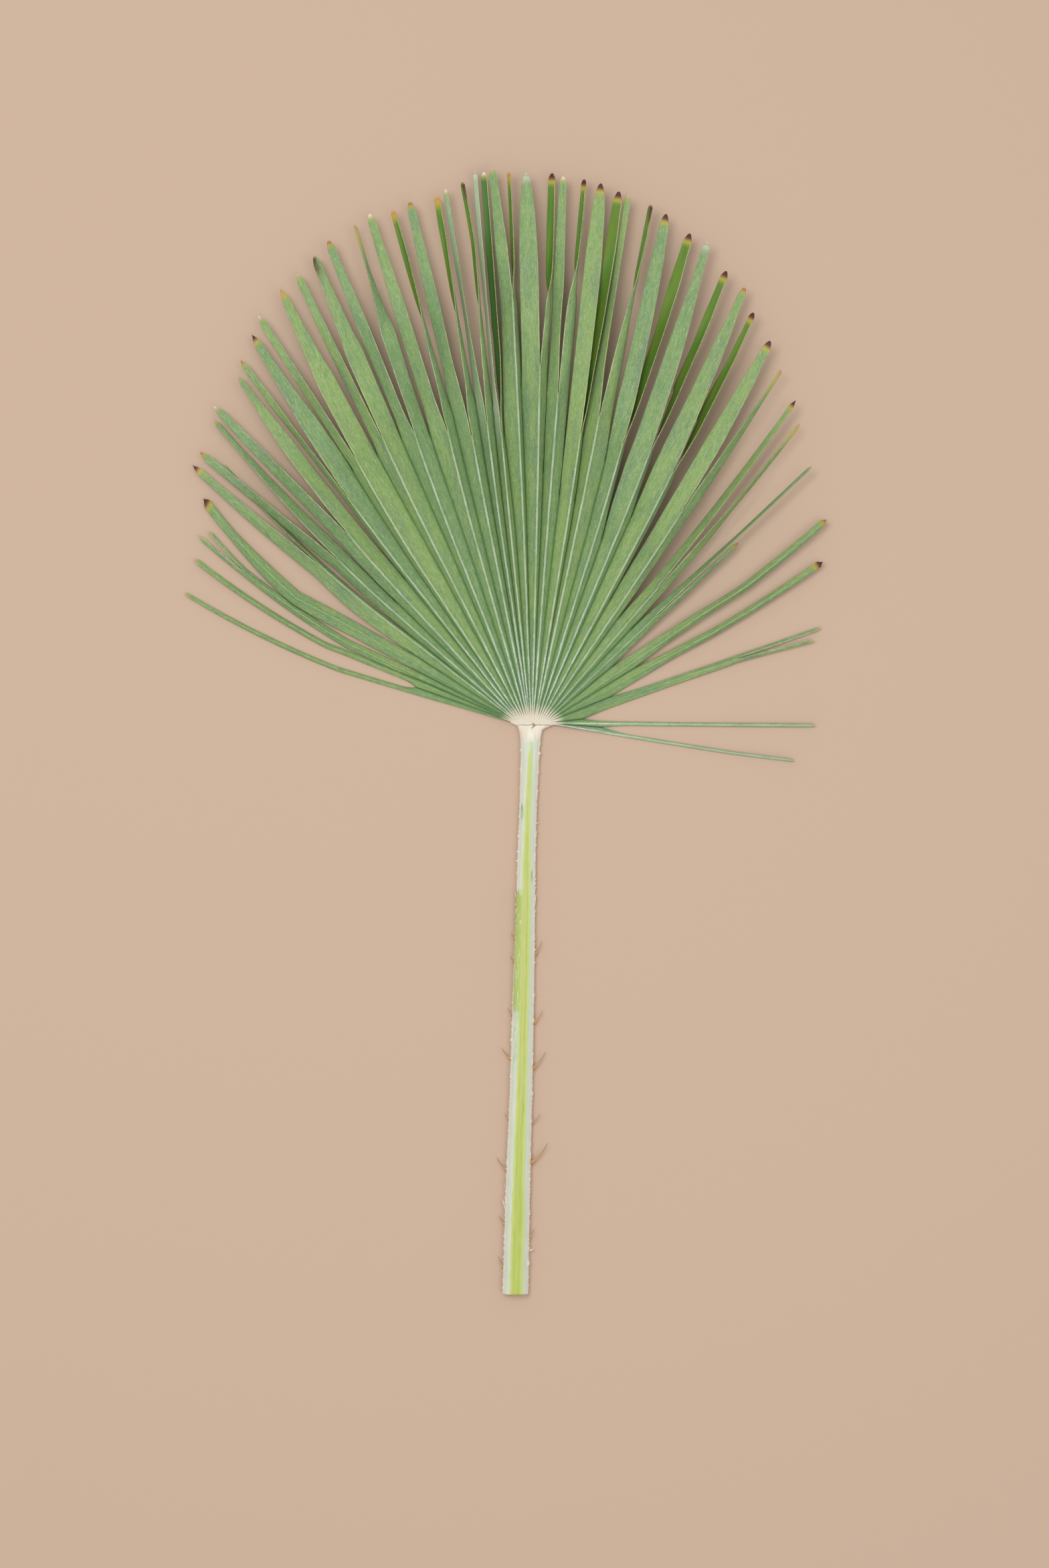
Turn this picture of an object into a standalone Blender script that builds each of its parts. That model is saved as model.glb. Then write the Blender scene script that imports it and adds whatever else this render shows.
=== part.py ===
"""A fan palm leaf, cut with its stalk and laid down with its grey-green underside up.

Metres, +Z up, +Y along the leaf. The origin is where the folds of the blade meet the stalk,
on the surface that the leaf lies on. Angles are degrees from +Y, clockwise seen from above.
Two nodes: petiole (stalk, flared head and spines) and fan_blade (all the folded segments).
"""

import math
import random

import bmesh
import bpy
import numpy as np
from mathutils import Matrix, Vector

MM = 0.001

# Head of the stalk, where the folds gather: half an ellipse round the origin
HEAD_HALF_WIDTH = 16.2 * MM
HEAD_DEPTH = 5.1 * MM
JOINT_GAP = 0.45 * MM

# Blade
BLADE_THICKNESS = 0.7 * MM
BASE_HEIGHT = 4.0 * MM
LOWEST_FOLD = 1.2 * MM
DOME_HEIGHT = 22.0 * MM
DOME_MIDDLE = 4.0
DOME_HALF_SPAN = 84.0
FOLD_SLOPE = 0.042
FOLD_LIMIT = 8.6 * MM
TRUE_HALF_WIDTH = 12.5 * MM
STRAIGHT_TO = 150.0 * MM
TIP_LENGTH = 5.0 * MM
SHOULDER_ROOM = 5.0 * MM
TIP_EASE = 110.0 * MM
TIP_FLATNESS = 0.55
SPLIT_EASE = 50.0 * MM
TIP_WIDTH = 5.4 * MM
LEAST_GAP = 1.1 * MM
TUCK = 1.5 * MM
TUCKED_FROM = 4.0 * MM
TUCKED_TO = 270.0 * MM
TUCK_EASE = 40.0 * MM
TIP_LIFT = 2.0 * MM
ROW_RADII = (0, 9, 20, 32, 46, 62, 80, 100, 120, 140, 160, 180, 200, 220, 240, 260, 280, 300,
             320, 340, 360, 380, 400)

# Stalk: distance down from the origin, sideways place, width and thickness, in millimetres
STALK = (
    (5.5, -0.9, 17.9, 7.4),
    (12, -1.0, 15.4, 7.8),
    (20, -1.2, 14.1, 8.0),
    (44, -2.1, 13.3, 8.1),
    (62, -2.7, 12.9, 8.2),
    (98, -3.9, 13.4, 8.4),
    (134, -4.7, 14.0, 8.6),
    (168, -5.5, 15.2, 8.8),
    (240, -7.2, 16.5, 9.4),
    (277, -8.1, 16.8, 9.6),
    (341, -10.3, 18.0, 10.0),
    (404, -11.8, 18.8, 10.4),
    (428, -12.3, 19.2, 10.6),
)
NECK = (
    (1.0, 0.8, 29.8, 6.6),
    (2.0, 1.5, 26.8, 6.9),
    (3.2, 0.5, 22.8, 7.1),
)
STALK_FACET = 14


def half(tip, *widths, under=0.0, via=None):
    """One side of a segment: its tip as (angle, radius mm) and its plan width as (radius mm, width mm).

    A negative width is a half turned over, which shows its inner face from above.
    under lowers the free blade by that many millimetres, where it passes below its neighbour.
    via is a point (angle, radius mm) that the free blade's middle passes.
    """
    return {"tip": tip, "widths": widths, "under": under, "via": via}


def segment(ridge, fork, left, right, depth=1.0, bend=150):
    """ridge is the fold's angle near the base. fork is (angle, radius mm), or None for one tip.

    bend is the radius in mm from which the ridge leaves its first angle for the fork or tip.
    """
    return {"ridge": ridge, "fork": fork, "left": left, "right": right, "depth": depth, "bend": bend}


def strand(ridge, tip, left, right, depth=0.4, bend=150):
    """A narrow segment whose two sides stay joined up to one tip."""
    return segment(ridge, None, half(tip, *left), half(tip, *right), depth, bend)


# The segments from left to right
SEGMENTS = (
    strand(-74.5, (-69.5, 278), [(60, 1.6), (250, 1.5)], [(90, 1.6), (250, 1.5)], 0.2),
    strand(-69.3, (-64.1, 281), [(90, 2.0), (250, 1.8)], [(90, 2.0), (250, 1.8)], 0.25, bend=165),
    segment(-66.7, (-62.2, 245), half((-60.7, 287), (100, 3.5), (240, 2.8)),
            half((-59.3, 282), (100, 3.2), (240, 2.6)), 0.4),
    strand(-62.1, (-55.7, 298), [(140, 5.4), (180, 6.0), (228, 5.2), (265, 3.4)],
           [(140, 5.0), (180, 5.4), (228, 5.0), (265, 3.2)], 0.5, bend=200),
    segment(-54.6, (-53.4, 196), half((-52.8, 319), (140, 9.7), (166, 10.2), (194, 8.6),
                                      (248, 8.1), (303, 5.2)),
            half((-50.1, 303), (120, 2.0), (230, 2.6), (280, 2.8), under=5.0), 0.8),
    segment(-50.9, (-50.0, 187), half((-50.8, 321), (207, 6.8), (248, 5.4), (303, 5.6)),
            half((-46.4, 329), (194, 8.1), (248, 6.4), (303, 3.6))),
    segment(-45.3, (-44.3, 196), half((-45.1, 336), (194, 8.6), (248, 7.9), (303, 7.0)),
            half((-40.3, 340), (221, 10.8), (276, 10.3), (303, 7.8), (325, 4.2))),
    segment(-40.3, (-39.3, 216), half((-38.8, 348), (276, 3.4), (309, 5.3), (330, 4.6)),
            half((-35.8, 358), (221, 14.4), (276, 13.5), (309, 9.3), (330, 7.7))),
    segment(-35.7, (-33.7, 237), half((-33.9, 367), (248, 5.8), (314, 6.0)),
            half((-30.1, 375), (248, 14.8), (298, 14.6), (314, 11.4), (345, 8.0))),
    segment(-29.0, (-27.7, 239), half((-27.6, 378), (248, 6.9), (320, 6.7)),
            half((-25.0, 385), (248, 12.7), (308, 13.6), (320, 10.7), (360, 7.0))),
    segment(-23.3, (-22.1, 233), half((-22.9, 391), (248, 7.5), (322, 8.7)),
            half((-19.6, 395), (248, 9.3), (314, 11.0), (322, 7.5), (358, 2.2))),
    segment(-17.1, (-16.15, 222), half((-17.7, 399), (248, 9.5), (322, 9.9), (380, 6.4)),
            half((-15.2, 397), (250, 5.2), (280, 3.9), (300, 2.2), (325, -2.2), (358, -3.9))),
    segment(-12.3, (-11.85, 216), half((-13.2, 400), (276, 8.1), (322, 9.0), (358, 7.8)),
            half((-10.25, 400), (250, 4.4), (280, 2.9), (300, 1.6), (325, -2.2), (350, -3.0), (375, -4.5))),
    segment(-9.1, (-8.5, 225), half((-9.2, 404), (250, 5.0), (280, 3.4), (300, 2.4), (322, 2.2),
                                    (350, 3.4)),
            half((-7.35, 407), (250, 4.4), (280, 3.2), (300, 2.2), (325, -1.8), (350, -2.3), (385, -2.8),
                 via=(-7.0, 360))),
    segment(-6.3, (-6.0, 214), half((-5.9, 415), (250, 2.4), (320, 2.2), (350, 3.4)),
            half((-5.0, 413), (216, 1.5), (226, 1.1), (236, 0.2), (246, -1.4), (256, -2.8), (268, -3.7),
                 (350, -4.6), via=(-5.33, 275))),
    segment(-2.4, (-2.6, 318), half((-4.1, 415), (240, 10.7), (270, 9.8), (300, 8.9), (322, 9.2),
                                    (358, 9.0)),
            half((-2.4, 412), (280, 3.6), (320, 3.0), (340, -1.6), (358, -2.3))),
    segment(1.45, (1.3, 263), half((-0.6, 411), (265, 13.2), (325, 14.0), (350, 13.8), (372, 12.4),
                                   (392, 9.6)),
            half((2.1, 411), (265, 5.4), (300, 4.0), (315, 2.8), (330, -3.8), (345, -5.2),
                 (370, -5.6), (398, -5.2), via=(2.2, 302))),
    segment(4.6, (4.55, 245), half((3.3, 409), (250, 8.2), (280, 6.6), (300, 6.6), (330, 8.4),
                                   (350, 7.4)),
            half((5.5, 408), (250, 7.6), (300, 7.6), (320, 5.8), (345, -2.4), (375, -3.3))),
    segment(10.1, (9.6, 217), half((7.3, 406), (248, 11.6), (322, 12.6), (350, 12.4), (388, 9.4)),
            half((9.3, 402), (180, 3.6), (205, 2.4), (217, 1.6), (234, -1.6), (248, -3.2), (276, -4.9),
                 (322, -6.8), (358, -8.3), (388, -6.8))),
    segment(13.0, (12.4, 233), half((10.4, 400), (200, 7.8), (233, 9.2), (248, 8.6), (276, 6.8), (300, 5.4),
                                     (385, 4.6), via=(10.8, 268)),
            half((12.95, 397), (250, 8.3), (280, 7.4), (300, 5.6), (320, 3.2), (340, -1.8),
                 (375, -3.2))),
    segment(18.9, (18.1, 218), half((14.8, 393), (248, 13.0), (287, 11.8), (322, 11.4),
                                    (358, 9.8), (380, 6.8)),
            half((17.9, 384), (168, 3.0), (200, 2.2), (218, 1.8), (236, -1.4), (250, -3.2), (303, -6.4),
                 (344, -8.4), (374, -6.0))),
    segment(24.5, (23.6, 221), half((20.1, 382), (175, 12.4), (206, 14.2), (248, 13.6), (303, 12.0),
                                    (344, 7.7), (372, 5.2)),
            half((23.3, 367), (193, 2.5), (207, 2.5), (221, 1.8), (238, -1.4), (252, -3.2), (289, -4.7),
                 (330, -6.5), (356, -5.0))),
    segment(30.3, (29.4, 213), half((26.1, 362), (209, 14.8), (235, 14.6), (276, 11.9), (317, 9.6),
                                    (350, 4.8)),
            half((28.4, 348), (156, 2.4), (184, 2.6), (207, 2.6), (215, 2.0), (230, -1.4), (248, -3.8),
                 (276, -4.5), (317, -4.9), (338, -3.9))),
    segment(36.1, (35.4, 194), half((32.0, 336), (194, 12.0), (248, 12.5), (303, 9.3), (327, 5.4)),
            half((35.3, 322), (140, 4.4), (188, 5.6), (204, 6.8), (216, 6.0), (248, 5.0), (300, 2.4))),
    segment(42.9, (43.1, 138), half((39.3, 311), (167, 5.6), (207, 5.0), (248, 4.2), (300, 3.2)),
            half((41.9, 300), (140, 5.2), (167, 4.8), (194, 4.2), (215, 2.4), (280, 2.4))),
    segment(48.9, (49.5, 120), half((47.5, 284), (120, 5.5), (167, 3.4), (207, 2.0)),
            half((48.9, 205), (120, 3.4), (167, 2.6)), 0.8),
    strand(57.6, (55.4, 268), [(112, 4.8), (167, 3.0), (207, 3.2), (250, 2.6)],
           [(112, 2.6), (167, 2.4), (250, 2.2)], 0.6, bend=190),
    strand(63.6, (61.05, 249), [(112, 3.4), (167, 2.6), (207, 2.6)], [(112, 2.4), (200, 2.2)], 0.5),
    segment(72.8, (72.6, 160), half((71.8, 229), (84, 2.4), (200, 2.2)),
            half((73.7, 221), (45, 4.4), (60, 4.2), (100, 3.2), (200, 2.2)), 0.3),
    strand(90.5, (90.5, 213), [(40, 1.8), (100, 1.3), (190, 1.2)], [(60, 1.5), (190, 1.2)], 0.2),
    strand(98.5, (98.2, 199), [(60, 1.2), (190, 0.9)], [(60, 1.2), (190, 0.9)], 0.2),
)

# The valleys between them: angle near the base, then angle and radius in mm where they split
VALLEYS = (
    (-77.0, -77.0, 0),
    (-72.0, -72.0, 85),
    (-68.0, -68.0, 85),
    (-64.6, -64.6, 85),
    (-58.9, -58.9, 95),
    (-53.4, -53.4, 95),
    (-48.0, -48.0, 131),
    (-41.2, -41.2, 140),
    (-36.9, -35.5, 228),
    (-30.6, -30.0, 228),
    (-25.2, -24.7, 230),
    (-19.9, -19.5, 226),
    (-14.9, -14.4, 238),
    (-10.4, -10.0, 240),
    (-7.6, -7.1, 236),
    (-4.9, -5.5, 212),
    (-1.6, -1.9, 250),
    (2.7, 2.6, 183),
    (6.9, 6.9, 166),
    (11.2, 11.0, 163),
    (16.2, 15.7, 198),
    (20.9, 20.9, 143),
    (25.9, 25.8, 166),
    (31.6, 31.6, 104),
    (38.4, 38.4, 96),
    (45.4, 45.4, 98),
    (52.5, 52.5, 62),
    (60.4, 60.4, 82),
    (69.3, 69.3, 52),
    (84.0, 84.0, 24),
    (94.0, 93.5, 40),
    (100.8, 100.8, 0),
)

# Spines: side (1 is right), distance down the stalk, length, base radius, in millimetres,
# and how far they point out, in degrees from straight up the stalk
SPINES = (
    (1, 174, 12, 1.3, 36),
    (1, 225, 12, 1.3, 46),
    (1, 259, 16, 1.5, 48),
    (1, 300, 10, 1.2, 55),
    (1, 330, 20, 1.7, 52),
    (1, 386, 8, 1.2, 38),
    (-1, 162, 5, 1.0, 40),
    (-1, 179, 5, 1.0, 40),
    (-1, 219, 6, 1.1, 38),
    (-1, 252, 11, 1.3, 48),
    (-1, 297, 5, 1.1, 42),
    (-1, 335, 12, 1.4, 48),
    (-1, 376, 8, 1.2, 42),
    (-1, 408, 9, 1.2, 32),
)
SPINE_SINK = 3.0 * MM
SPINE_SIDES = 5


def smooth(value):
    """0 to 1 with level ends."""
    value = min(1.0, max(0.0, value))
    return value * value * (3 - 2 * value)


def along(angle):
    """The plan direction of an angle."""
    return np.array((math.sin(math.radians(angle)), math.cos(math.radians(angle))))


def across(angle):
    """The plan direction square to it, towards larger angles."""
    return np.array((math.cos(math.radians(angle)), -math.sin(math.radians(angle))))


def angle_of(point):
    return math.degrees(math.atan2(point[0], point[1]))


def base_point(angle):
    """Where a fold starts, on the ellipse just outside the head."""
    return along(angle) * np.array((HEAD_HALF_WIDTH + JOINT_GAP, HEAD_DEPTH + JOINT_GAP))


def fold_point(near, end, end_radius, radius, bend=STRAIGHT_TO):
    """A fold's plan point: straight from the head at first, then bending to its end angle."""
    turn = (radius - bend) / max(end_radius - bend, 1e-6)
    angle = near + (end - near) * min(1.0, max(0.0, turn))
    return base_point(near) * max(0.0, 1 - radius / STRAIGHT_TO) + along(angle) * radius


def ground_height(angle, radius):
    """The height of the valleys: a low dome that comes down to the surface at both sides."""
    part = min(1.0, abs(angle - DOME_MIDDLE) / DOME_HALF_SPAN)
    rise = smooth(radius / (180 * MM)) * (1 - 0.55 * smooth((radius - 220 * MM) / (195 * MM)))
    dome = DOME_HEIGHT * math.cos(part * math.pi / 2) ** 2 * rise
    start = BASE_HEIGHT * (1 - smooth(radius / (60 * MM)))
    return max(LOWEST_FOLD, dome + start + LOWEST_FOLD * smooth(radius / (60 * MM)))


def fold_height(radius, depth):
    """How far a ridge stands over its valleys."""
    height = FOLD_SLOPE * radius * smooth((radius - 10 * MM) / (80 * MM))
    return depth * min(height, FOLD_LIMIT)


def interpolate(pairs, radius):
    radii = [pair[0] for pair in pairs]
    values = [pair[1] for pair in pairs]
    return float(np.interp(radius, radii, values))


def row_near(radius):
    return min(range(len(ROW_RADII)), key=lambda row: abs(ROW_RADII[row] * MM - radius))


class HalfBlade:
    """One side of one segment: where its ridge edge and its valley edge run."""

    def __init__(self, index, side, lift):
        self.index = index
        self.side = side
        self.lift = lift
        self.segment = SEGMENTS[index]
        self.own = self.segment[side]
        self.turn = -1 if side == "left" else 1
        self.valley = index if side == "left" else index + 1
        self.split = VALLEYS[self.valley][2] * MM
        self.fork = self.segment["fork"]
        self.tip_radius = self.own["tip"][1] * MM
        self.shoulder = self.tip_radius - TIP_LENGTH
        self.split_row = row_near(self.split)
        self.fork_row = row_near(self.fork[1] * MM) if self.fork else len(ROW_RADII)
        last = self.shoulder - SHOULDER_ROOM
        self.rows = [row for row, radius in enumerate(ROW_RADII) if radius * MM < last] + ["shoulder"]
        self.pairs = self.width_pairs()

    def width_pairs(self):
        """The plan width by radius, from where the valley splits to the shoulder, in metres."""
        start = np.linalg.norm(self.valley_point(self.split) - self.ridge_point(self.split))
        pairs = [(self.split, float(start))]
        for radius, width in self.own["widths"]:
            if radius * MM > self.split:
                pairs.append((radius * MM, width * MM))
        last = pairs[-1][1]
        pairs.append((self.shoulder, math.copysign(min(abs(last), TIP_WIDTH), last)))
        return pairs

    def ridge_point(self, radius):
        end, end_radius = self.fork or self.segment["left"]["tip"]
        return fold_point(self.segment["ridge"], end, end_radius * MM, radius, self.segment["bend"] * MM)

    def valley_point(self, radius):
        near, end, end_radius = VALLEYS[self.valley]
        return fold_point(near, end, end_radius * MM, radius)

    def radius_of(self, row):
        return self.shoulder if row == "shoulder" else ROW_RADII[row] * MM

    def ridge_key(self, row):
        """The ridge edge's vertex. Both sides of the segment share it up to the fork."""
        free = bool(self.fork) if row == "shoulder" else row > self.fork_row
        return ("ridge", self.index, self.side if free else "both", row)

    def valley_key(self, row):
        """The valley edge's vertex. Two segments share it up to the split."""
        free = row == "shoulder" or row > self.split_row
        return ("valley", self.valley, self.side if free else "both", row)

    def tip_key(self):
        return ("tip", self.index, self.side if self.fork else "both", 0)

    def middle_angle(self, radius):
        """Where the free half's middle lies, between the fork and the tip."""
        start_radius = self.fork[1] * MM
        start_width = interpolate(self.pairs, start_radius)
        start_angle = angle_of(self.ridge_point(start_radius))
        path = [(start_radius, start_angle + self.turn * math.degrees(start_width / 2 / start_radius))]
        if self.own["via"]:
            path.append((self.own["via"][1] * MM, self.own["via"][0]))
        path.append((self.tip_radius, self.own["tip"][0]))
        return interpolate(path, radius)

    def ridge_place(self, row):
        radius = self.radius_of(row)
        if self.ridge_key(row)[2] == "both":
            return self.ridge_point(self.fork[1] * MM if row == self.fork_row else radius)
        half_width = math.degrees(interpolate(self.pairs, radius) / 2 / radius)
        return along(self.middle_angle(radius) - self.turn * half_width) * radius

    def valley_place(self, row, ridge):
        radius = self.radius_of(row)
        if self.valley_key(row)[2] == "both":
            return self.valley_point(self.split if row == self.split_row else radius)
        width = interpolate(self.pairs, radius)
        if width < -TUCKED_FROM and self.ridge_key(row)[2] != "both":
            width -= TUCK * (1 - smooth((radius - TUCKED_TO) / TUCK_EASE))
        return ridge + across(angle_of(ridge)) * self.turn * width

    def heights(self, row, ridge, edge):
        """Heights of the ridge edge and the valley edge, which come together towards the tip."""
        radius = self.radius_of(row)
        before_tip = radius - self.tip_radius
        ease = 1 - TIP_FLATNESS * smooth(1 + before_tip / TIP_EASE)
        bend = self.lift * smooth(1 + before_tip / TIP_EASE)
        sink = self.own["under"] * MM * smooth((radius / self.tip_radius - 0.62) / 0.12)
        raised = fold_height(radius, self.segment["depth"])
        ridge_height = ground_height(angle_of(ridge), radius) + raised * ease + bend - sink
        if self.valley_key(row)[2] == "both":
            edge_height = ground_height(angle_of(edge), radius)
        else:
            width = interpolate(self.pairs, radius)
            true = TRUE_HALF_WIDTH * (1 - 0.6 * smooth((radius / self.tip_radius - 0.72) / 0.28))
            free = math.sqrt(max(true * true - width * width, (0.3 * true) ** 2))
            free = min(free * self.segment["depth"], raised)
            drop = raised + (free - raised) * smooth((radius - self.split) / SPLIT_EASE)
            edge_height = ridge_height - drop * ease
        edge_height = max(edge_height, LOWEST_FOLD)
        return max(ridge_height, edge_height + 0.15 * raised), edge_height


class Fan:
    """The vertices of the blade's middle surface, as (angle, radius, height), and its triangles."""

    def __init__(self):
        self.places = {}
        self.faces = []
        chance = random.Random(7)
        self.halves = []
        for index in range(len(SEGMENTS)):
            for side in ("left", "right"):
                lift = chance.uniform(-0.5, 1.0) * TIP_LIFT
                self.halves.append(HalfBlade(index, side, lift))
        for blade in self.halves:
            self.place(blade)
        self.open_gaps()
        for blade in self.halves:
            self.cover(blade)

    def place(self, blade):
        for row in blade.rows:
            ridge = blade.ridge_place(row)
            edge = blade.valley_place(row, ridge)
            ridge_height, edge_height = blade.heights(row, ridge, edge)
            ridge_place = [angle_of(ridge), np.linalg.norm(ridge), ridge_height]
            self.places.setdefault(blade.ridge_key(row), ridge_place)
            self.places[blade.valley_key(row)] = [angle_of(edge), np.linalg.norm(edge), edge_height]
        middle = max((ridge_height + edge_height) / 2 + 0.3 * blade.lift, LOWEST_FOLD)
        self.places.setdefault(blade.tip_key(), [blade.own["tip"][0], blade.tip_radius, middle])

    def open_gaps(self):
        """Keeps free neighbours at least LEAST_GAP apart in plan, by moving both edges alike."""
        for row in range(len(ROW_RADII)):
            shown = [blade for blade in self.halves if row in blade.rows and not blade.own["under"]]
            for left, right in zip(shown, shown[1:]):
                left_key = self.outer_edge(left, row, max)
                right_key = self.outer_edge(right, row, min)
                folded_under = left.index == right.index and right_key == right.valley_key(row)
                if not folded_under:
                    self.part_edges(left_key, right_key)

    def outer_edge(self, blade, row, pick):
        return pick((blade.ridge_key(row), blade.valley_key(row)), key=lambda key: self.places[key][0])

    def part_edges(self, left_key, right_key):
        left, right = self.places[left_key], self.places[right_key]
        lacking = LEAST_GAP - math.radians(right[0] - left[0]) * right[1]
        movable = [key for key in (left_key, right_key) if key[2] != "both"]
        if left_key == right_key or lacking <= 0 or not movable:
            return
        for key in movable:
            turn = -1 if key is left_key else 1
            self.places[key][0] += turn * math.degrees(lacking / len(movable) / right[1])

    def cover(self, blade):
        """Triangles between a half's two edges, split the same way all along."""
        for here, beyond in zip(blade.rows, blade.rows[1:]):
            a = blade.ridge_key(here)
            b = blade.valley_key(here)
            c = blade.valley_key(beyond)
            d = blade.ridge_key(beyond)
            self.add_face(blade, a, b, c)
            self.add_face(blade, a, c, d)
        self.add_face(blade, blade.ridge_key("shoulder"), blade.valley_key("shoulder"), blade.tip_key())

    def add_face(self, blade, a, b, c):
        self.faces.append((a, b, c) if blade.side == "left" else (a, c, b))

    def mesh(self, name):
        order = {key: number for number, key in enumerate(self.places)}
        points = []
        for angle, radius, height in self.places.values():
            x, y = along(angle) * radius
            points.append((x, y, height))
        mesh = bpy.data.meshes.new(name)
        mesh.from_pydata(points, [], [[order[key] for key in face] for face in self.faces])
        mesh.update()
        return mesh


def material(name, colour, roughness):
    made = bpy.data.materials.new(name)
    made.use_nodes = True
    shader = made.node_tree.nodes["Principled BSDF"]
    shader.inputs["Base Color"].default_value = (*colour, 1)
    shader.inputs["Roughness"].default_value = roughness
    shader.inputs["Metallic"].default_value = 0.0
    made.diffuse_color = (*colour, 1)
    return made


def add_object(name, mesh, made_of=None):
    item = bpy.data.objects.new(name, mesh)
    bpy.context.scene.collection.objects.link(item)
    if made_of:
        mesh.materials.append(made_of)
    return item


def evaluated_mesh(item):
    graph = bpy.context.evaluated_depsgraph_get()
    return bpy.data.meshes.new_from_object(item.evaluated_get(graph))


def fan_blade():
    """The folded fan: a middle surface given the same thickness on both faces."""
    item = add_object("fan_blade", Fan().mesh("fan_blade"), material("frond_green", (0.23, 0.36, 0.13), 0.6))
    skin = item.modifiers.new("thickness", "SOLIDIFY")
    skin.thickness = BLADE_THICKNESS
    skin.offset = 0
    skin.use_even_offset = True
    solid = evaluated_mesh(item)
    item.modifiers.clear()
    item.data = solid
    lowest = min(vertex.co.z for vertex in solid.vertices)
    solid.transform(Matrix.Translation((0, 0, -lowest)))
    return item


def stalk_section(width, thickness):
    """A cross-section: flat below, rounded above, from the lower left corner round to the right."""
    points = []
    for step in range(STALK_FACET):
        turn = math.pi * step / (STALK_FACET - 1)
        side = -math.cos(turn)
        up = max(0.0, math.sin(turn))
        x = width / 2 * math.copysign(abs(side) ** 0.75, side)
        points.append((x, thickness * (0.3 + 0.7 * up ** 0.8)))
    flat = 0.36 * width
    return [(-flat, 0.0)] + points + [(flat, 0.0)]


def stalk_stations():
    """(y, x, width, thickness) from the head's front edge down to the cut end."""
    stations = []
    for part in (0.93, 0.8, 0.55, 0.2, 0.0):
        width = 2 * HEAD_HALF_WIDTH * math.sqrt(1 - part ** 2)
        stations.append((part * HEAD_DEPTH, 0.0, width, (6.4 - 1.2 * part) * MM))
    for down, aside, width, thickness in NECK + STALK:
        stations.append((-down * MM, aside * MM, width * MM, thickness * MM))
    return stations


def stalk_mesh():
    shape = bmesh.new()
    rings = []
    for y, x, width, thickness in stalk_stations():
        ring = [shape.verts.new((x + px, y, pz)) for px, pz in stalk_section(width, thickness)]
        rings.append(ring)
    for front, back in zip(rings, rings[1:]):
        for number, vertex in enumerate(front):
            beyond = (number + 1) % len(front)
            shape.faces.new((vertex, back[number], back[beyond], front[beyond]))
    shape.faces.new(rings[0])
    shape.faces.new(rings[-1][::-1])
    bmesh.ops.recalc_face_normals(shape, faces=shape.faces)
    mesh = bpy.data.meshes.new("petiole")
    shape.to_mesh(mesh)
    shape.free()
    return mesh


def stalk_size(down):
    """Sideways place, width and thickness at a distance down the stalk, in millimetres."""
    downs = [station[0] for station in STALK]
    return [float(np.interp(down, downs, [station[part] for station in STALK])) for part in (1, 2, 3)]


def spine_mesh(side, down, length, radius, out):
    """A slim cone, a little hooked towards the blade, with its root sunk in the stalk's edge."""
    aside, width, thickness = stalk_size(down)
    start = Vector((aside + side * width / 2, -down, 0.42 * thickness)) * MM
    shape = bmesh.new()
    rings = []
    for part, size in ((0.0, 1.25), (0.3, 1.0), (0.62, 0.55)):
        turn = math.radians(out * (1.15 - 0.4 * part))
        course = Vector((side * math.sin(turn), math.cos(turn), 0.0))
        centre = start + course * (part * (length * MM + SPINE_SINK) - SPINE_SINK)
        beside = Vector((course.y, -course.x, 0))
        ring = []
        for step in range(SPINE_SIDES):
            spin = 2 * math.pi * step / SPINE_SIDES
            offset = beside * math.cos(spin) + Vector((0, 0, 1)) * math.sin(spin)
            ring.append(shape.verts.new(centre + offset * radius * MM * size))
        rings.append(ring)
    turn = math.radians(out * 0.78)
    tip = shape.verts.new(start + Vector((side * math.sin(turn), math.cos(turn), 0.04)) * length * MM)
    for root, next_ring in zip(rings, rings[1:]):
        for number, vertex in enumerate(root):
            beyond = (number + 1) % SPINE_SIDES
            shape.faces.new((vertex, root[beyond], next_ring[beyond], next_ring[number]))
    for number, vertex in enumerate(rings[-1]):
        shape.faces.new((vertex, rings[-1][(number + 1) % SPINE_SIDES], tip))
    shape.faces.new(rings[0][::-1])
    bmesh.ops.recalc_face_normals(shape, faces=shape.faces)
    mesh = bpy.data.meshes.new("spine")
    shape.to_mesh(mesh)
    shape.free()
    return mesh


def petiole():
    """The stalk with its spines, joined in one solid."""
    item = add_object("petiole", stalk_mesh(), material("stalk_cream", (0.62, 0.60, 0.34), 0.5))
    spines = bpy.data.collections.new("spines")
    bpy.context.scene.collection.children.link(spines)
    for number, (side, down, length, radius, out) in enumerate(SPINES):
        spine = bpy.data.objects.new(f"spine_{number}", spine_mesh(side, down, length, radius, out))
        spines.objects.link(spine)
    union = item.modifiers.new("spines", "BOOLEAN")
    union.operation = "UNION"
    union.operand_type = "COLLECTION"
    union.collection = spines
    union.solver = "EXACT"
    solid = evaluated_mesh(item)
    item.modifiers.clear()
    item.data = solid
    for spine in list(spines.objects):
        bpy.data.objects.remove(spine)
    bpy.data.collections.remove(spines)
    return item


def main():
    for item in list(bpy.data.objects):
        bpy.data.objects.remove(item)
    petiole()
    fan_blade()


main()
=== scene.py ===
"""Looks of the fan palm leaf, laid down with its grey-green underside up.

Metres, +Z up, +Y along the leaf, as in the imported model. Angles are degrees from +Y, clockwise
seen from above. The tables give millimetres.
"""

import math
import random

import bpy
import numpy as np
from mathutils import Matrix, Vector, noise


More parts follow.
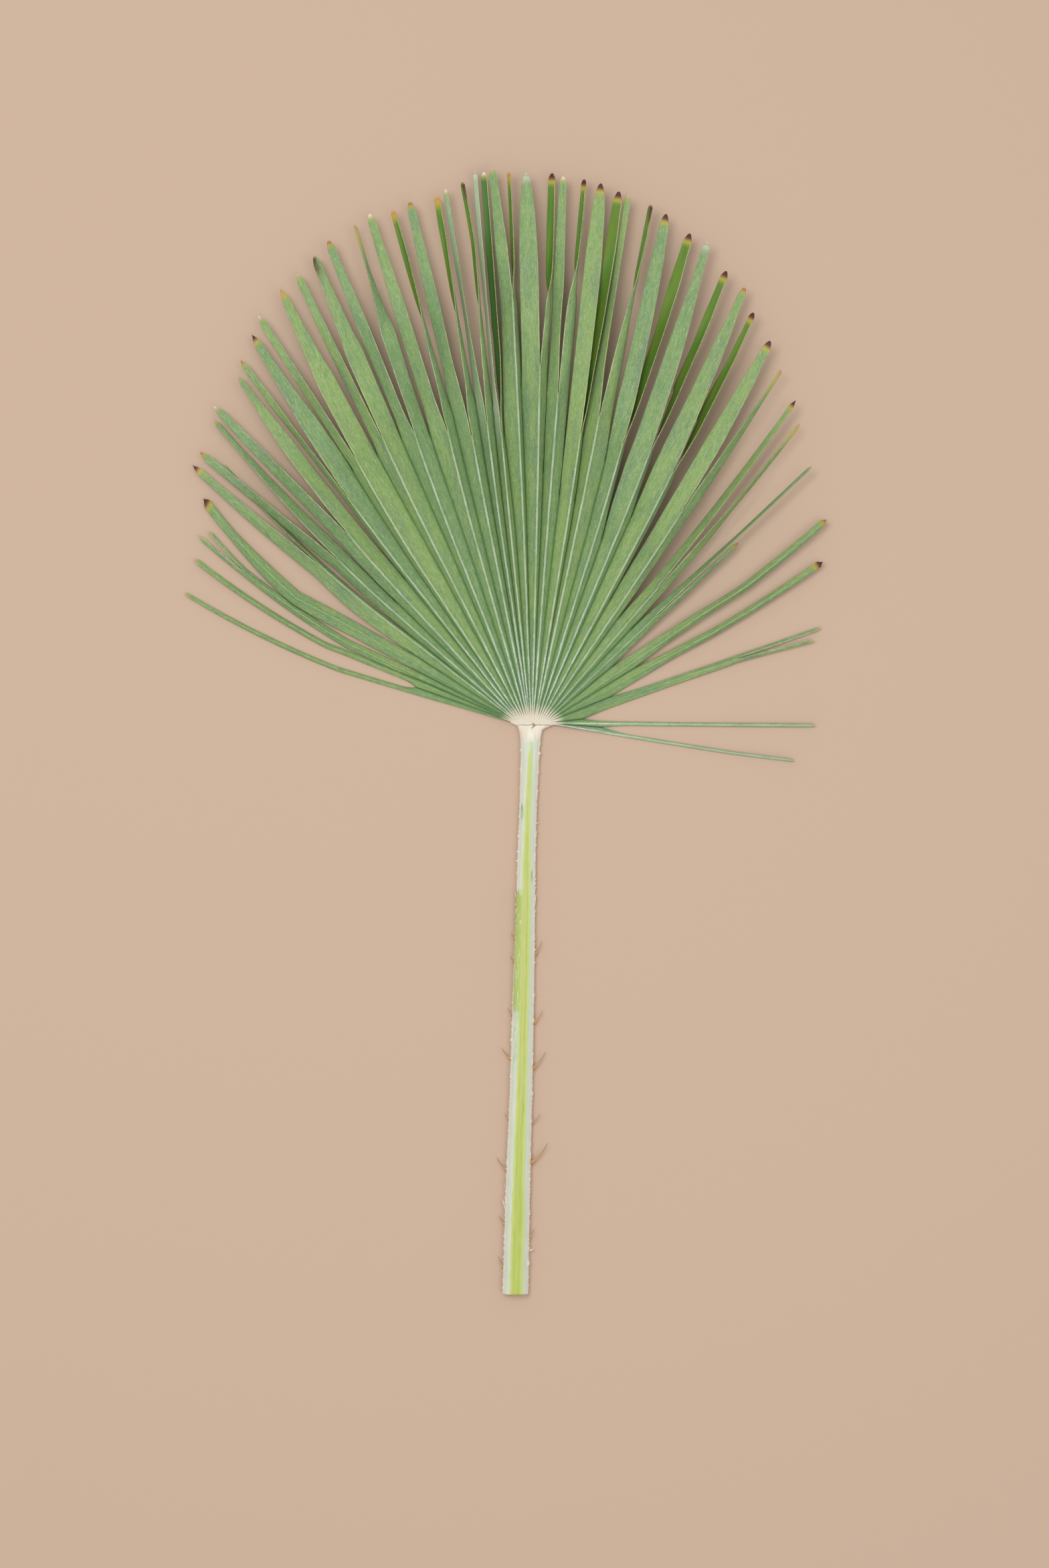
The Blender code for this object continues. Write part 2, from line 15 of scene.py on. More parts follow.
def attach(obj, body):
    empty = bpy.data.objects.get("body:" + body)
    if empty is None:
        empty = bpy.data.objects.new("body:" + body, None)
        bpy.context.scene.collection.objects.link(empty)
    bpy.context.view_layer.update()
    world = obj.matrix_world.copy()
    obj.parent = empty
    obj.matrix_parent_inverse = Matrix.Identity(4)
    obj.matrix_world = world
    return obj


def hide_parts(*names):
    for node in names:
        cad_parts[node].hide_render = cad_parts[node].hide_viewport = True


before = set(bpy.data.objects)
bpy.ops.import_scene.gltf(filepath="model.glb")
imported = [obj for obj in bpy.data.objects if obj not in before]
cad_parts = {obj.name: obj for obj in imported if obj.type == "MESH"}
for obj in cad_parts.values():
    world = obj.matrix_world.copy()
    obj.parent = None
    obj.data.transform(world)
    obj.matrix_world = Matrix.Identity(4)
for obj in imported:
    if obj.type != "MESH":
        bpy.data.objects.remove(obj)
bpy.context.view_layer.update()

MM = 0.001

# Head of the stalk, where the folds gather: half an ellipse round the origin
HEAD_HALF_WIDTH = 16.2 * MM
HEAD_DEPTH = 5.1 * MM
JOINT_GAP = 0.45 * MM

# Blade
BLADE_THICKNESS = 0.55 * MM
BASE_HEIGHT = 4.0 * MM
BASE_REACH = 60.0 * MM
LOWEST_FOLD = 1.2 * MM
DOME_HEIGHT = 22.0 * MM
DOME_FULL_AT = 180.0 * MM
DOME_FALLS_FROM = 220.0 * MM
DOME_FALLS_OVER = 195.0 * MM
DOME_FALL = 0.55
DOME_MIDDLE = 4.0
DOME_HALF_SPAN = 84.0
FOLD_SLOPE = 0.042
FOLD_LIMIT = 8.6 * MM
TRUE_HALF_WIDTH = 12.5 * MM
STRAIGHT_TO = 150.0 * MM
TIP_LENGTH = 5.0 * MM
TIP_EASE = 110.0 * MM
TIP_FLATNESS = 0.55
SPLIT_EASE = 50.0 * MM
TIP_WIDTH = 5.4 * MM
LEAST_GAP = 0.7 * MM
TUCK = 1.5 * MM
TUCKED_FROM = 4.0 * MM
TUCKED_TO = 270.0 * MM
TUCK_EASE = 40.0 * MM
TIP_LIFT = 2.0 * MM
ROW_STEP = 4.0 * MM
TIP_ROOM = 14.0 * MM
HEAD_THICKNESS = 6.6 * MM
HEAD_COVER = 0.5 * MM
HEAD_FLUTE = 0.5 * MM
HEAD_EASE = 24.0 * MM
HEAD_LINE = -1.6 * MM
HEAD_LINE_MIDDLE = 1.6 * MM
HEAD_LINE_SHRINK = 0.81
HEAD_REACH = 6.0 * MM
HEAD_ROWS = (1.0, 0.75, 0.5, 0.25)
CORNER_ROUNDING = np.array((-5, -2.5, 0, 2.5, 5)) * MM
STRIPE_HALF = 0.95 * MM
RIM_COLUMN = 0.5 * MM
CREST_RISE = 0.4 * MM
CAMBER = 0.2 * MM
COLUMNS = range(7)
STREAK_FADE = (1, 1, 1, 0.85, 0.3, 0, 0)
FACTS = ("from_ridge", "from_valley", "radius", "past_fork", "past_split", "tone", "shade", "wool")

# Rows before a tip, and the width of the blade there, in millimetres before the tip
TIP_ROWS = (11, 9, 7.2, 5.6, 4.2, 3.0, 2.0, 1.2, 0.6, 0.0)
TIP_OUTLINE = ((0, 0.15), (0.6, 0.5), (1.2, 0.9), (2.0, 1.7), (3.0, 2.7), (4.2, 3.5), (5.6, 4.2), (7.2, 4.9),
    (9, 5.8), (11, 6.8), (14, 9.0))
BLUNT_OUTLINE = ((0, 0.9), (0.6, 2.0), (1.2, 2.8), (2.0, 3.5), (3.0, 4.3), (4.2, 5.1), (5.6, 5.8), (7.2, 6.5),
    (9, 7.3), (11, 8.1), (14, 10.0))
BLUNT_SEGMENTS = range(9, 24)

# How each tip has dried: millimetres before the tip, then colour and strength
TIP_BANDS = {
    "pale": ((0, (0.62, 0.56, 0.42, 1)), (1.2, (0.45, 0.36, 0.2, 0.9)), (3.0, (0.42, 0.42, 0.1, 0.5)),
        (6.0, (0.3, 0.42, 0.08, 0))),
    "dark": ((0, (0.07, 0.025, 0.022, 1)), (3.5, (0.09, 0.03, 0.025, 1)), (4.6, (0.3, 0.14, 0.04, 0.95)),
        (6.5, (0.5, 0.42, 0.06, 0.85)), (10.0, (0.36, 0.4, 0.07, 0))),
    "brown": ((0, (0.5, 0.4, 0.28, 1)), (1.2, (0.3, 0.15, 0.05, 1)), (3.2, (0.45, 0.3, 0.06, 0.9)),
        (7.0, (0.4, 0.42, 0.06, 0))),
    "orange": ((0, (0.6, 0.45, 0.28, 1)), (1.5, (0.55, 0.25, 0.06, 1)), (5.0, (0.5, 0.36, 0.06, 0.9)),
        (12.0, (0.36, 0.4, 0.07, 0))),
    "white": ((0, (0.75, 0.7, 0.6, 1)), (1.6, (0.7, 0.62, 0.48, 0.9)), (3.5, (0.5, 0.42, 0.14, 0.6)),
        (7.0, (0.4, 0.42, 0.1, 0))),
    "frayed": ((0, (0.6, 0.56, 0.48, 1)), (2.0, (0.4, 0.36, 0.26, 0.9)), (3.5, (0.6, 0.64, 0.5, 0.7)),
        (10.0, (0.42, 0.5, 0.34, 0))),
    "needle": ((0, (0.5, 0.36, 0.16, 1)), (8.0, (0.5, 0.44, 0.14, 0.9)), (30.0, (0.4, 0.42, 0.1, 0))),
    "streak": ((0, (0.5, 0.3, 0.1, 1)), (2.0, (0.08, 0.035, 0.025, 1)), (12.0, (0.12, 0.06, 0.03, 0.7)),
        (20.0, (0.3, 0.36, 0.07, 0))),
}
TIP_KINDS = {
    "dark": "4L 4R 5L 8R 17R 18R 19L 19R 21L 21R 22R 23R 24L 25L 28L 28R",
    "brown": "6L 8L 11L 13L 23L 26R 27L 27R",
    "white": "7L 9L 12L 14L 15R 18L",
    "orange": "9R 12R 13R 16R",
    "streak": "10R 14R 20R",
    "needle": "11R 24R 25R",
    "frayed": "15L 17L 22L",
}
TIP_LOOKS = {name: look for look, names in TIP_KINDS.items() for name in names.split()}

# How woolly each segment's ridge is, from left to right
SEGMENT_WOOL = (0.05, 0.05, 0.05, 0.1, 0.6, 0.75, 0.8, 0.9, 0.9, 0.95, 1, 1, 1, 1, 1, 1, 1, 1, 1, 1, 1, 1,
    0.9, 0.7, 0.5, 0.35, 0.15, 0.1, 0.1, 0.9, 0.9)

# Halves that stand out from the rest: 1 is whitish bloom, and -1 is darker green, painted shade on a steep
# half turned away from the light
SHADES = {"14L": 0.45, "15L": 1.0, "15R": -1.0, "16L": -0.2, "30R": 0.4, "31L": 0.3, "31R": 0.5}

# Halves that roll over: how far their cross-section bulges, in millimetres
CURLS = {"12R": 1.2, "13R": 1.2, "14R": 1.2, "15R": 1.0, "16R": 1.0, "17R": 1.6, "18R": 1.8, "20R": 1.6,
    "19R": 0.8, "21R": 0.8, "22R": 0.8, "23R": 0.8}


def colour(red, green, blue):
    """A screen colour from 0 to 255 as the linear values that a shader takes."""
    values = []
    for part in (red, green, blue):
        part /= 255
        values.append(part / 12.92 if part <= 0.04045 else ((part + 0.055) / 1.055) ** 2.4)
    return (*values, 1)


# Colours as they look on screen
BLOOM_BLUISH = colour(117, 150, 99)
BLOOM_YELLOWISH = colour(135, 163, 94)
BLOOM_WHITE = colour(184, 203, 168)
BLOOM_GREY = colour(110, 136, 104)
VEIN_GREEN = colour(84, 124, 68)
FRAYED_GREY = colour(196, 208, 190)
# Darker green near the head, and painted shade in the valley creases and on steep halves
DEEP_GREEN = colour(62, 108, 56)
# Painted shade for the deep slit at the bottom of each valley
SLIT_SHADE_GREEN = colour(34, 56, 18)
RIDGE_WOOL = colour(188, 204, 184)
WOOL_WHITE = colour(212, 221, 210)
MARGIN_CREAM = colour(226, 220, 190)
MARGIN_YELLOW = colour(164, 172, 112)
RIM_GREEN = colour(118, 146, 84)
HEAD_CREAM = colour(222, 214, 196)
BRIGHT_GREEN = colour(84, 124, 44)
BRIGHT_YELLOWISH = colour(100, 130, 44)
BRIGHT_VEIN = colour(76, 114, 38)
MINT_BAND = colour(192, 208, 190)
CREAM_BAND = colour(212, 213, 198)
SCURF_CREAM = colour(234, 228, 214)
SCURF_PINKISH = colour(216, 200, 180)
LIME_DEEP = colour(162, 183, 74)
LIME_LIGHT = colour(184, 197, 96)
LIME_PALE = colour(192, 205, 128)
SCUFF_GREEN = colour(134, 170, 112)
RUBBED_LIME = colour(170, 189, 90)
STREAK_BEIGE = colour(206, 198, 150)
GREY_GREEN = colour(172, 194, 160)
LINE_BROWN = colour(132, 104, 70)
MARK_OLIVE = colour(140, 130, 78)
SPINE_ROOT = colour(176, 112, 46)
SPINE_STRAW = colour(186, 146, 92)
SPINE_BROWN = colour(168, 130, 90)
SPINE_DARK = colour(136, 102, 76)
CUT_PALE = colour(226, 220, 186)
CUT_FIBRE = colour(176, 160, 112)
FLOOR_PALE = colour(197, 172, 152)

# Rubbed patches: distance down from and to, sideways from and to, seed, cover from 0 to 1, and colour
SCUFFS = ((62, 73, -5.4, -3.6, 31.0, 0.6, SCUFF_GREEN), (126, 218, -7.4, -2.4, 33.0, 0.66, RUBBED_LIME),
    (112, 120, 3.6, 4.8, 35.0, 0.6, SCUFF_GREEN), (214, 262, -6.6, -3.4, 37.0, 0.35, GREY_GREEN))

# The photograph: pixels high, metres a pixel, and the point that lies at its middle
PHOTO_HEIGHT = 2343
PIXEL = 0.5 * MM
VIEW_CENTRE = (-0.0055, -0.04575)
CAMERA_FOCUS_HEIGHT = 0.015


def half(tip, *widths, under=0.0, via=None):
    """One side of a segment: its tip as (angle, radius mm) and its plan width as (radius mm, width mm).

    A negative width is a half turned over, which shows its inner face from above.
    under lowers the free blade by that many millimetres, where it passes below its neighbour.
    via is a point (angle, radius mm) that the free blade's middle passes.
    """
    return {"tip": tip, "widths": widths, "under": under, "via": via}


def segment(ridge, fork, left, right, depth=1.0, bend=150):
    """ridge is the fold's angle near the base. fork is (angle, radius mm), or None for one tip.

    bend is the radius in mm from which the ridge leaves its first angle for the fork or tip.
    """
    return {"ridge": ridge, "fork": fork, "left": left, "right": right, "depth": depth, "bend": bend}


def strand(ridge, tip, left, right, depth=0.4, bend=150):
    """A narrow segment whose two sides stay joined up to one tip."""
    return segment(ridge, None, half(tip, *left), half(tip, *right), depth, bend)


# The segments from left to right
SEGMENTS = (
    strand(-74.5, (-69.5, 278), [(60, 1.6), (250, 1.5)], [(90, 1.6), (250, 1.5)], 0.2),
    strand(-69.3, (-64.1, 281), [(90, 2.0), (250, 1.8)], [(90, 2.0), (250, 1.8)], 0.25, bend=165),
    segment(-66.7, (-62.2, 245), half((-60.7, 287), (100, 3.5), (240, 2.8)),
        half((-59.3, 282), (100, 3.2), (240, 2.6)), 0.4),
    strand(-62.1, (-55.7, 298), [(140, 5.4), (180, 6.0), (228, 5.2), (265, 3.4)], [(140, 5.0), (180, 5.4),
        (228, 5.0), (265, 3.2)], 0.5, bend=200),
    segment(-54.6, (-53.4, 196),
        half((-52.8, 319), (140, 9.7), (166, 10.2), (194, 8.6), (248, 8.1), (303, 5.2)),
        half((-50.1, 303), (120, 2.0), (230, 2.6), (280, 2.8), under=5.0), 0.8),
    segment(-50.9, (-50.0, 187), half((-50.8, 321), (207, 6.8), (248, 5.4), (303, 5.6)),
        half((-46.4, 329), (194, 8.1), (248, 6.4), (303, 3.6))),
    segment(-45.3, (-44.3, 196), half((-45.1, 336), (194, 8.6), (248, 7.9), (303, 7.0)),
        half((-40.3, 340), (221, 10.8), (276, 10.3), (303, 7.8), (325, 4.2))),
    segment(-40.3, (-39.3, 216), half((-38.8, 348), (276, 3.4), (309, 5.3), (330, 4.6)),
        half((-35.8, 358), (221, 14.4), (276, 13.5), (309, 9.3), (330, 7.7))),
    segment(-35.7, (-33.7, 237), half((-33.9, 367), (248, 5.8), (314, 6.0)),
        half((-30.1, 375), (248, 14.8), (298, 14.6), (314, 11.4), (345, 8.0))),
    segment(-29.0, (-27.7, 239), half((-27.6, 378), (248, 6.9), (320, 6.7)),
        half((-25.0, 385), (248, 12.7), (308, 13.6), (320, 10.7), (360, 7.0))),
    segment(-23.3, (-22.1, 233), half((-22.9, 391), (248, 7.5), (322, 8.7)),
        half((-19.6, 395), (248, 9.3), (314, 11.0), (322, 7.5), (358, 2.2))),
    segment(-17.1, (-16.15, 222), half((-17.7, 399), (248, 9.5), (322, 9.9), (380, 6.4)),
        half((-15.2, 397), (250, 5.2), (280, 3.9), (300, 2.2), (325, -2.2), (358, -3.9))),
    segment(-12.3, (-11.85, 216), half((-13.2, 400), (276, 8.1), (322, 9.0), (358, 7.8)),
        half((-10.25, 400), (250, 4.4), (280, 2.9), (300, 1.6), (325, -2.2), (350, -3.0), (375, -4.5))),
    segment(-9.1, (-8.5, 225), half((-9.2, 404), (250, 5.0), (280, 3.4), (300, 2.4), (322, 2.2), (350, 3.4)),
        half((-7.35, 407), (250, 4.4), (280, 3.2), (300, 2.2), (325, -1.8), (350, -2.3), (385, -2.8),
        via=(-7.0, 360))),
    segment(-6.3, (-6.0, 214), half((-5.9, 415), (250, 2.4), (320, 2.2), (350, 3.4)),
        half((-5.0, 413), (216, 1.5), (226, 1.1), (236, 0.2), (246, -1.4), (256, -2.8), (268, -3.7),
        (350, -4.6), via=(-5.33, 275))),
    segment(-2.4, (-2.6, 318), half((-4.1, 415), (240, 10.7), (270, 9.8), (300, 8.9), (322, 9.2), (358, 9.0)),
        half((-2.4, 412), (280, 3.6), (320, 3.0), (340, -1.6), (358, -2.3))),
    segment(1.45, (1.3, 263),
        half((-0.6, 411), (265, 13.2), (325, 14.0), (350, 13.8), (372, 12.4), (392, 9.6)),
        half((2.1, 411), (265, 5.4), (300, 4.0), (315, 2.8), (330, -3.8), (345, -5.2), (370, -5.6),
        (398, -5.2), via=(2.2, 302))),
    segment(4.6, (4.55, 245), half((3.3, 409), (250, 8.2), (280, 6.6), (300, 6.6), (330, 8.4), (350, 7.4)),
        half((5.5, 408), (250, 7.6), (300, 7.6), (320, 5.8), (345, -2.4), (375, -3.3))),
    segment(10.1, (9.6, 217), half((7.3, 406), (248, 11.6), (322, 12.6), (350, 12.4), (388, 9.4)),
        half((9.3, 402), (180, 3.6), (205, 2.4), (217, 1.6), (234, -1.6), (248, -3.2), (276, -4.9),
        (322, -6.8), (358, -8.3), (388, -6.8))),
    segment(13.0, (12.4, 233),
        half((10.4, 400), (200, 7.8), (233, 9.2), (248, 8.6), (276, 6.8), (300, 5.4), (385, 4.6),
        via=(10.8, 268)),
        half((12.95, 397), (250, 8.3), (280, 7.4), (300, 5.6), (320, 3.2), (340, -1.8), (375, -3.2))),
    segment(18.9, (18.1, 218),
        half((14.8, 393), (248, 13.0), (287, 11.8), (322, 11.4), (358, 9.8), (380, 6.8)),
        half((17.9, 384), (168, 3.0), (200, 2.2), (218, 1.8), (236, -1.4), (250, -3.2), (303, -6.4),
        (344, -8.4), (374, -6.0))),
    segment(24.5, (23.6, 221),
        half((20.1, 382), (175, 12.4), (206, 14.2), (248, 13.6), (303, 12.0), (344, 7.7), (372, 5.2)),
        half((23.3, 367), (193, 2.5), (207, 2.5), (221, 1.8), (238, -1.4), (252, -3.2), (289, -4.7),
        (330, -6.5), (356, -5.0))),
    segment(30.3, (29.4, 213),
        half((26.1, 362), (209, 14.8), (235, 14.6), (276, 11.9), (317, 9.6), (350, 4.8)),
        half((28.4, 348), (156, 2.4), (184, 2.6), (207, 2.6), (215, 2.0), (230, -1.4), (248, -3.8),
        (276, -4.5), (317, -4.9), (338, -3.9))),
    segment(36.1, (35.4, 194), half((32.0, 336), (194, 12.0), (248, 12.5), (303, 9.3), (327, 5.4)),
        half((35.3, 322), (140, 4.4), (188, 5.6), (204, 6.8), (216, 6.0), (248, 5.0), (300, 2.4))),
    segment(42.9, (43.1, 138), half((39.3, 311), (167, 5.6), (207, 5.0), (248, 4.2), (300, 3.2)),
        half((41.9, 300), (140, 5.2), (167, 4.8), (194, 4.2), (215, 2.4), (280, 2.4))),
    segment(48.9, (49.5, 120), half((47.5, 284), (120, 5.5), (167, 3.4), (207, 2.0)),
        half((48.9, 205), (120, 3.4), (167, 2.6)), 0.8),
    strand(57.6, (55.4, 268), [(112, 4.8), (167, 3.0), (207, 3.2), (250, 2.6)], [(112, 2.6), (167, 2.4),
        (250, 2.2)], 0.6, bend=190),
    strand(63.6, (61.05, 249), [(112, 3.4), (167, 2.6), (207, 2.6)], [(112, 2.4), (200, 2.2)], 0.5),
    segment(72.8, (72.6, 160), half((71.8, 229), (84, 2.4), (200, 2.2)),
        half((73.7, 221), (45, 4.4), (60, 4.2), (100, 3.2), (200, 2.2)), 0.3),
    strand(90.5, (90.5, 213), [(40, 1.8), (100, 1.3), (190, 1.2)], [(60, 1.5), (190, 1.2)], 0.2),
    strand(98.5, (98.2, 199), [(60, 1.2), (190, 0.9)], [(60, 1.2), (190, 0.9)], 0.2),
)

# The valleys between them: angle near the base, then angle and radius in mm where they split
VALLEYS = ((-77.0, -77.0, 0), (-72.0, -72.0, 85), (-68.0, -68.0, 85), (-64.6, -64.6, 85), (-58.9, -58.9, 95),
    (-53.4, -53.4, 95), (-48.0, -48.0, 131), (-41.2, -41.2, 140), (-36.9, -35.5, 228), (-30.6, -30.0, 228),
    (-25.2, -24.7, 230), (-19.9, -19.5, 226), (-14.9, -14.4, 238), (-10.4, -10.0, 240), (-7.6, -7.1, 236),
    (-4.9, -5.5, 212), (-1.6, -1.9, 250), (2.7, 2.6, 183), (6.9, 6.9, 166), (11.2, 11.0, 163),
    (16.2, 15.7, 198), (20.9, 20.9, 143), (25.9, 25.8, 166), (31.6, 31.6, 104), (38.4, 38.4, 96),
    (45.4, 45.4, 98), (52.5, 52.5, 62), (60.4, 60.4, 82), (69.3, 69.3, 52), (84.0, 84.0, 24),
    (94.0, 93.5, 40), (100.8, 100.8, 0))

# Spines: side (1 is right), distance down the stalk, length, base radius, in millimetres,
# and how far they point out, in degrees from straight up the stalk
SPINES = ((1, 174, 12, 1.3, 36), (1, 225, 12, 1.3, 46), (1, 259, 16, 1.5, 48), (1, 300, 10, 1.2, 55),
    (1, 330, 20, 1.7, 52), (1, 386, 8, 1.2, 38), (-1, 162, 5, 1.0, 40), (-1, 179, 5, 1.0, 40),
    (-1, 219, 6, 1.1, 38), (-1, 252, 11, 1.3, 48), (-1, 297, 5, 1.1, 42), (-1, 335, 12, 1.4, 48),
    (-1, 376, 8, 1.2, 42), (-1, 408, 9, 1.2, 32))


def smooth(value):
    """0 to 1 with level ends."""
    value = min(1.0, max(0.0, value))
    return value * value * (3 - 2 * value)


def along(angle):
    """The plan direction of an angle."""
    return np.array((math.sin(math.radians(angle)), math.cos(math.radians(angle))))


def across(angle):
    """The plan direction square to it, towards larger angles."""
    return np.array((math.cos(math.radians(angle)), -math.sin(math.radians(angle))))


def angle_of(point):
    return math.degrees(math.atan2(point[0], point[1]))


def base_point(angle):
    """Where a fold starts, on the ellipse just outside the head."""
    return along(angle) * np.array((HEAD_HALF_WIDTH + JOINT_GAP, HEAD_DEPTH + JOINT_GAP))


def fold_point(near, end, end_radius, radius, bend=STRAIGHT_TO):
    """A fold's plan point: straight from the head at first, then bending to its end angle."""
    turn = (radius - bend) / max(end_radius - bend, 1e-6)
    angle = near + (end - near) * min(1.0, max(0.0, turn))
    return base_point(near) * max(0.0, 1 - radius / STRAIGHT_TO) + along(angle) * radius


def head_height(x):
    """The height of the head's rounded top at a sideways place."""
    part = min(1.0, abs(x) / (HEAD_HALF_WIDTH + JOINT_GAP))
    return HEAD_THICKNESS * (0.3 + 0.7 * (1 - part ** 2.67) ** 0.4)


def ground_height(angle, radius):
    """The height of the valleys: a low dome that comes down to the surface at both sides."""
    part = min(1.0, abs(angle - DOME_MIDDLE) / DOME_HALF_SPAN)
    falling = smooth((radius - DOME_FALLS_FROM) / DOME_FALLS_OVER)
    rise = smooth(radius / DOME_FULL_AT) * (1 - DOME_FALL * falling)
    dome = DOME_HEIGHT * math.cos(part * math.pi / 2) ** 2 * rise
    away = smooth(radius / BASE_REACH)
    height = max(LOWEST_FOLD, dome + BASE_HEIGHT * (1 - away) + LOWEST_FOLD * away)
    on_head = head_height(base_point(angle)[0]) + HEAD_COVER
    return height + max(0.0, on_head - height) * (1 - smooth(radius / HEAD_EASE))


def fold_height(radius, depth):
    """How far a ridge stands over its valleys."""
    height = FOLD_SLOPE * radius * smooth((radius - 10 * MM) / (80 * MM))
    return depth * min(height, FOLD_LIMIT) + HEAD_FLUTE * (1 - smooth(radius / (40 * MM)))


def interpolate(pairs, radius):
    """The value at a radius, with its corners rounded off."""
    radii = [pair[0] for pair in pairs]
    values = [pair[1] for pair in pairs]
    near = np.interp(radius + CORNER_ROUNDING, radii, values)
    return float(np.mean(near))


class HalfBlade:
    """One side of one segment: where its ridge edge and its valley edge run."""

    def __init__(self, index, side, lift):
        self.index = index
        self.side = side
        self.lift = lift
        self.segment = SEGMENTS[index]
        self.own = self.segment[side]
        self.turn = -1 if side == "left" else 1
        self.valley = index if side == "left" else index + 1
        self.split = snapped(VALLEYS[self.valley][2])
        self.fork = self.segment["fork"]
        self.fork_radius = snapped(self.fork[1]) if self.fork else 1.0
        self.tip_radius = self.own["tip"][1] * MM
        self.shoulder = self.tip_radius - TIP_LENGTH
        self.radii = np.arange(0, self.tip_radius - TIP_ROOM, ROW_STEP)
        self.pairs = self.width_pairs()
        self.name = f"{index + 1}{side[0].upper()}"
        self.look = TIP_LOOKS.get(self.name, "pale")

    def width_pairs(self):
        """The plan width by radius, from where the valley splits to the shoulder, in metres."""
        start = np.linalg.norm(self.valley_point(self.split) - self.ridge_point(self.split))
        pairs = [(self.split, float(start))]
        for radius, width in self.own["widths"]:
            if radius * MM > self.split:
                pairs.append((radius * MM, width * MM))
        last = pairs[-1][1]
        pairs.append((self.shoulder, math.copysign(min(abs(last), TIP_WIDTH), last)))
        return pairs

    def ridge_point(self, radius):
        end, end_radius = self.fork or self.segment["left"]["tip"]
        return fold_point(self.segment["ridge"], end, end_radius * MM, radius, self.segment["bend"] * MM)

    def valley_point(self, radius):
        near, end, end_radius = VALLEYS[self.valley]
        return fold_point(near, end, end_radius * MM, radius)

    def ridge_free(self, radius):
        return radius > self.fork_radius + 1e-6

    def valley_free(self, radius):
        return radius > self.split + 1e-6

    def middle_angle(self, radius):
        """Where the free half's middle lies, between the fork and the tip."""
        start_width = interpolate(self.pairs, self.fork_radius)
        start_turn = self.turn * math.degrees(start_width / 2 / self.fork_radius)
        path = [(self.fork_radius, angle_of(self.ridge_point(self.fork_radius)) + start_turn)]
        if self.own["via"]:
            path.append((self.own["via"][1] * MM, self.own["via"][0]))
        path.append((self.tip_radius, self.own["tip"][0]))
        return interpolate(path, radius)

    def ridge_place(self, radius):
        if not self.ridge_free(radius):
            return self.ridge_point(radius)
        half_width = math.degrees(interpolate(self.pairs, radius) / 2 / radius)
        return along(self.middle_angle(radius) - self.turn * half_width) * radius

    def valley_place(self, radius, ridge):
        if not self.valley_free(radius):
            return self.valley_point(radius)
        width = interpolate(self.pairs, radius)
        if width < -TUCKED_FROM and self.ridge_free(radius):
            width -= TUCK * (1 - smooth((radius - TUCKED_TO) / TUCK_EASE))
        return ridge + across(angle_of(ridge)) * self.turn * width

    def heights(self, radius, ridge, edge):
        """Heights of the ridge edge and the valley edge, which come together towards the tip."""
        before_tip = radius - self.tip_radius
        ease = 1 - TIP_FLATNESS * smooth(1 + before_tip / TIP_EASE)
        bend = self.lift * smooth(1 + before_tip / TIP_EASE)
        sink = self.own["under"] * MM * smooth((radius / self.tip_radius - 0.62) / 0.12)
        raised = fold_height(radius, self.segment["depth"])
        ridge_height = ground_height(angle_of(ridge), radius) + raised * ease + bend - sink
        if not self.valley_free(radius):
            edge_height = ground_height(angle_of(edge), radius)
        else:
            width = interpolate(self.pairs, radius)
            true = TRUE_HALF_WIDTH * (1 - 0.6 * smooth((radius / self.tip_radius - 0.72) / 0.28))
            free = math.sqrt(max(true * true - width * width, (0.3 * true) ** 2))
            free = min(free * self.segment["depth"], raised)
            drop = raised + (free - raised) * smooth((radius - self.split) / SPLIT_EASE)
            edge_height = ridge_height - drop * ease
        edge_height = max(edge_height, LOWEST_FOLD)
        return max(ridge_height, edge_height + 0.15 * raised), edge_height

    def lay(self):
        """The two edges as (angle, radius, height) for every grid radius."""
        self.ridge = np.zeros((len(self.radii), 3))
        self.edge = np.zeros((len(self.radii), 3))
        for row, radius in enumerate(self.radii):
            ridge = self.ridge_place(radius)
            edge = self.valley_place(radius, ridge)
            ridge_height, edge_height = self.heights(radius, ridge, edge)
            self.ridge[row] = (angle_of(ridge), np.linalg.norm(ridge), ridge_height)
            self.edge[row] = (angle_of(edge), np.linalg.norm(edge), edge_height)

    def outer_edge(self, row, towards):
        """The edge that lies furthest left (-1) or right (1)."""
        return max((self.ridge, self.edge), key=lambda edge: towards * edge[row][0])

    def movable(self, edge, radius):
        return self.ridge_free(radius) if edge is self.ridge else self.valley_free(radius)

    def rows(self):
        """Both edges as points, from the head to the tip, with the radius of each row."""
        ridge, edge = to_points(self.ridge), to_points(self.edge)
        radii = list(self.radii)
        reach = self.tip_radius - radii[-1]
        tip_height = max((ridge[-1][2] + edge[-1][2]) / 2 + 0.3 * self.lift, LOWEST_FOLD)
        tip = np.append(along(self.own["tip"][0]) * self.tip_radius, tip_height)
        last_ridge, last_edge = ridge[-1], edge[-1]
        chord = last_edge - last_ridge
        last_width = np.linalg.norm(chord)
        for before in TIP_ROWS:
            part = 1 - before * MM / reach
            outline = BLUNT_OUTLINE if self.index in BLUNT_SEGMENTS else TIP_OUTLINE
            narrow = interpolate_sharp(outline, before) * MM
            width = min(last_width, narrow)
            if self.fork:
                middle = (last_ridge + last_edge) / 2 * (1 - part) + tip * part
                here = middle - chord / last_width * width / 2
            else:
                here = last_ridge * (1 - part) + tip * part
            ridge.append(here)
            edge.append(here + chord / last_width * width)
            radii.append(self.tip_radius - before * MM)
        inner_ridge = [head_point(ridge[0], part, 1) for part in HEAD_ROWS]
        inner_edge = [head_point(edge[0], part, 0) for part in HEAD_ROWS]
        radii = [-part * HEAD_REACH for part in HEAD_ROWS] + radii
        return np.array(inner_ridge + ridge), np.array(inner_edge + edge), np.array(radii)


def snapped(radius):
    """A radius in millimetres as the nearest grid radius in metres."""
    return round(radius * MM / ROW_STEP) * ROW_STEP


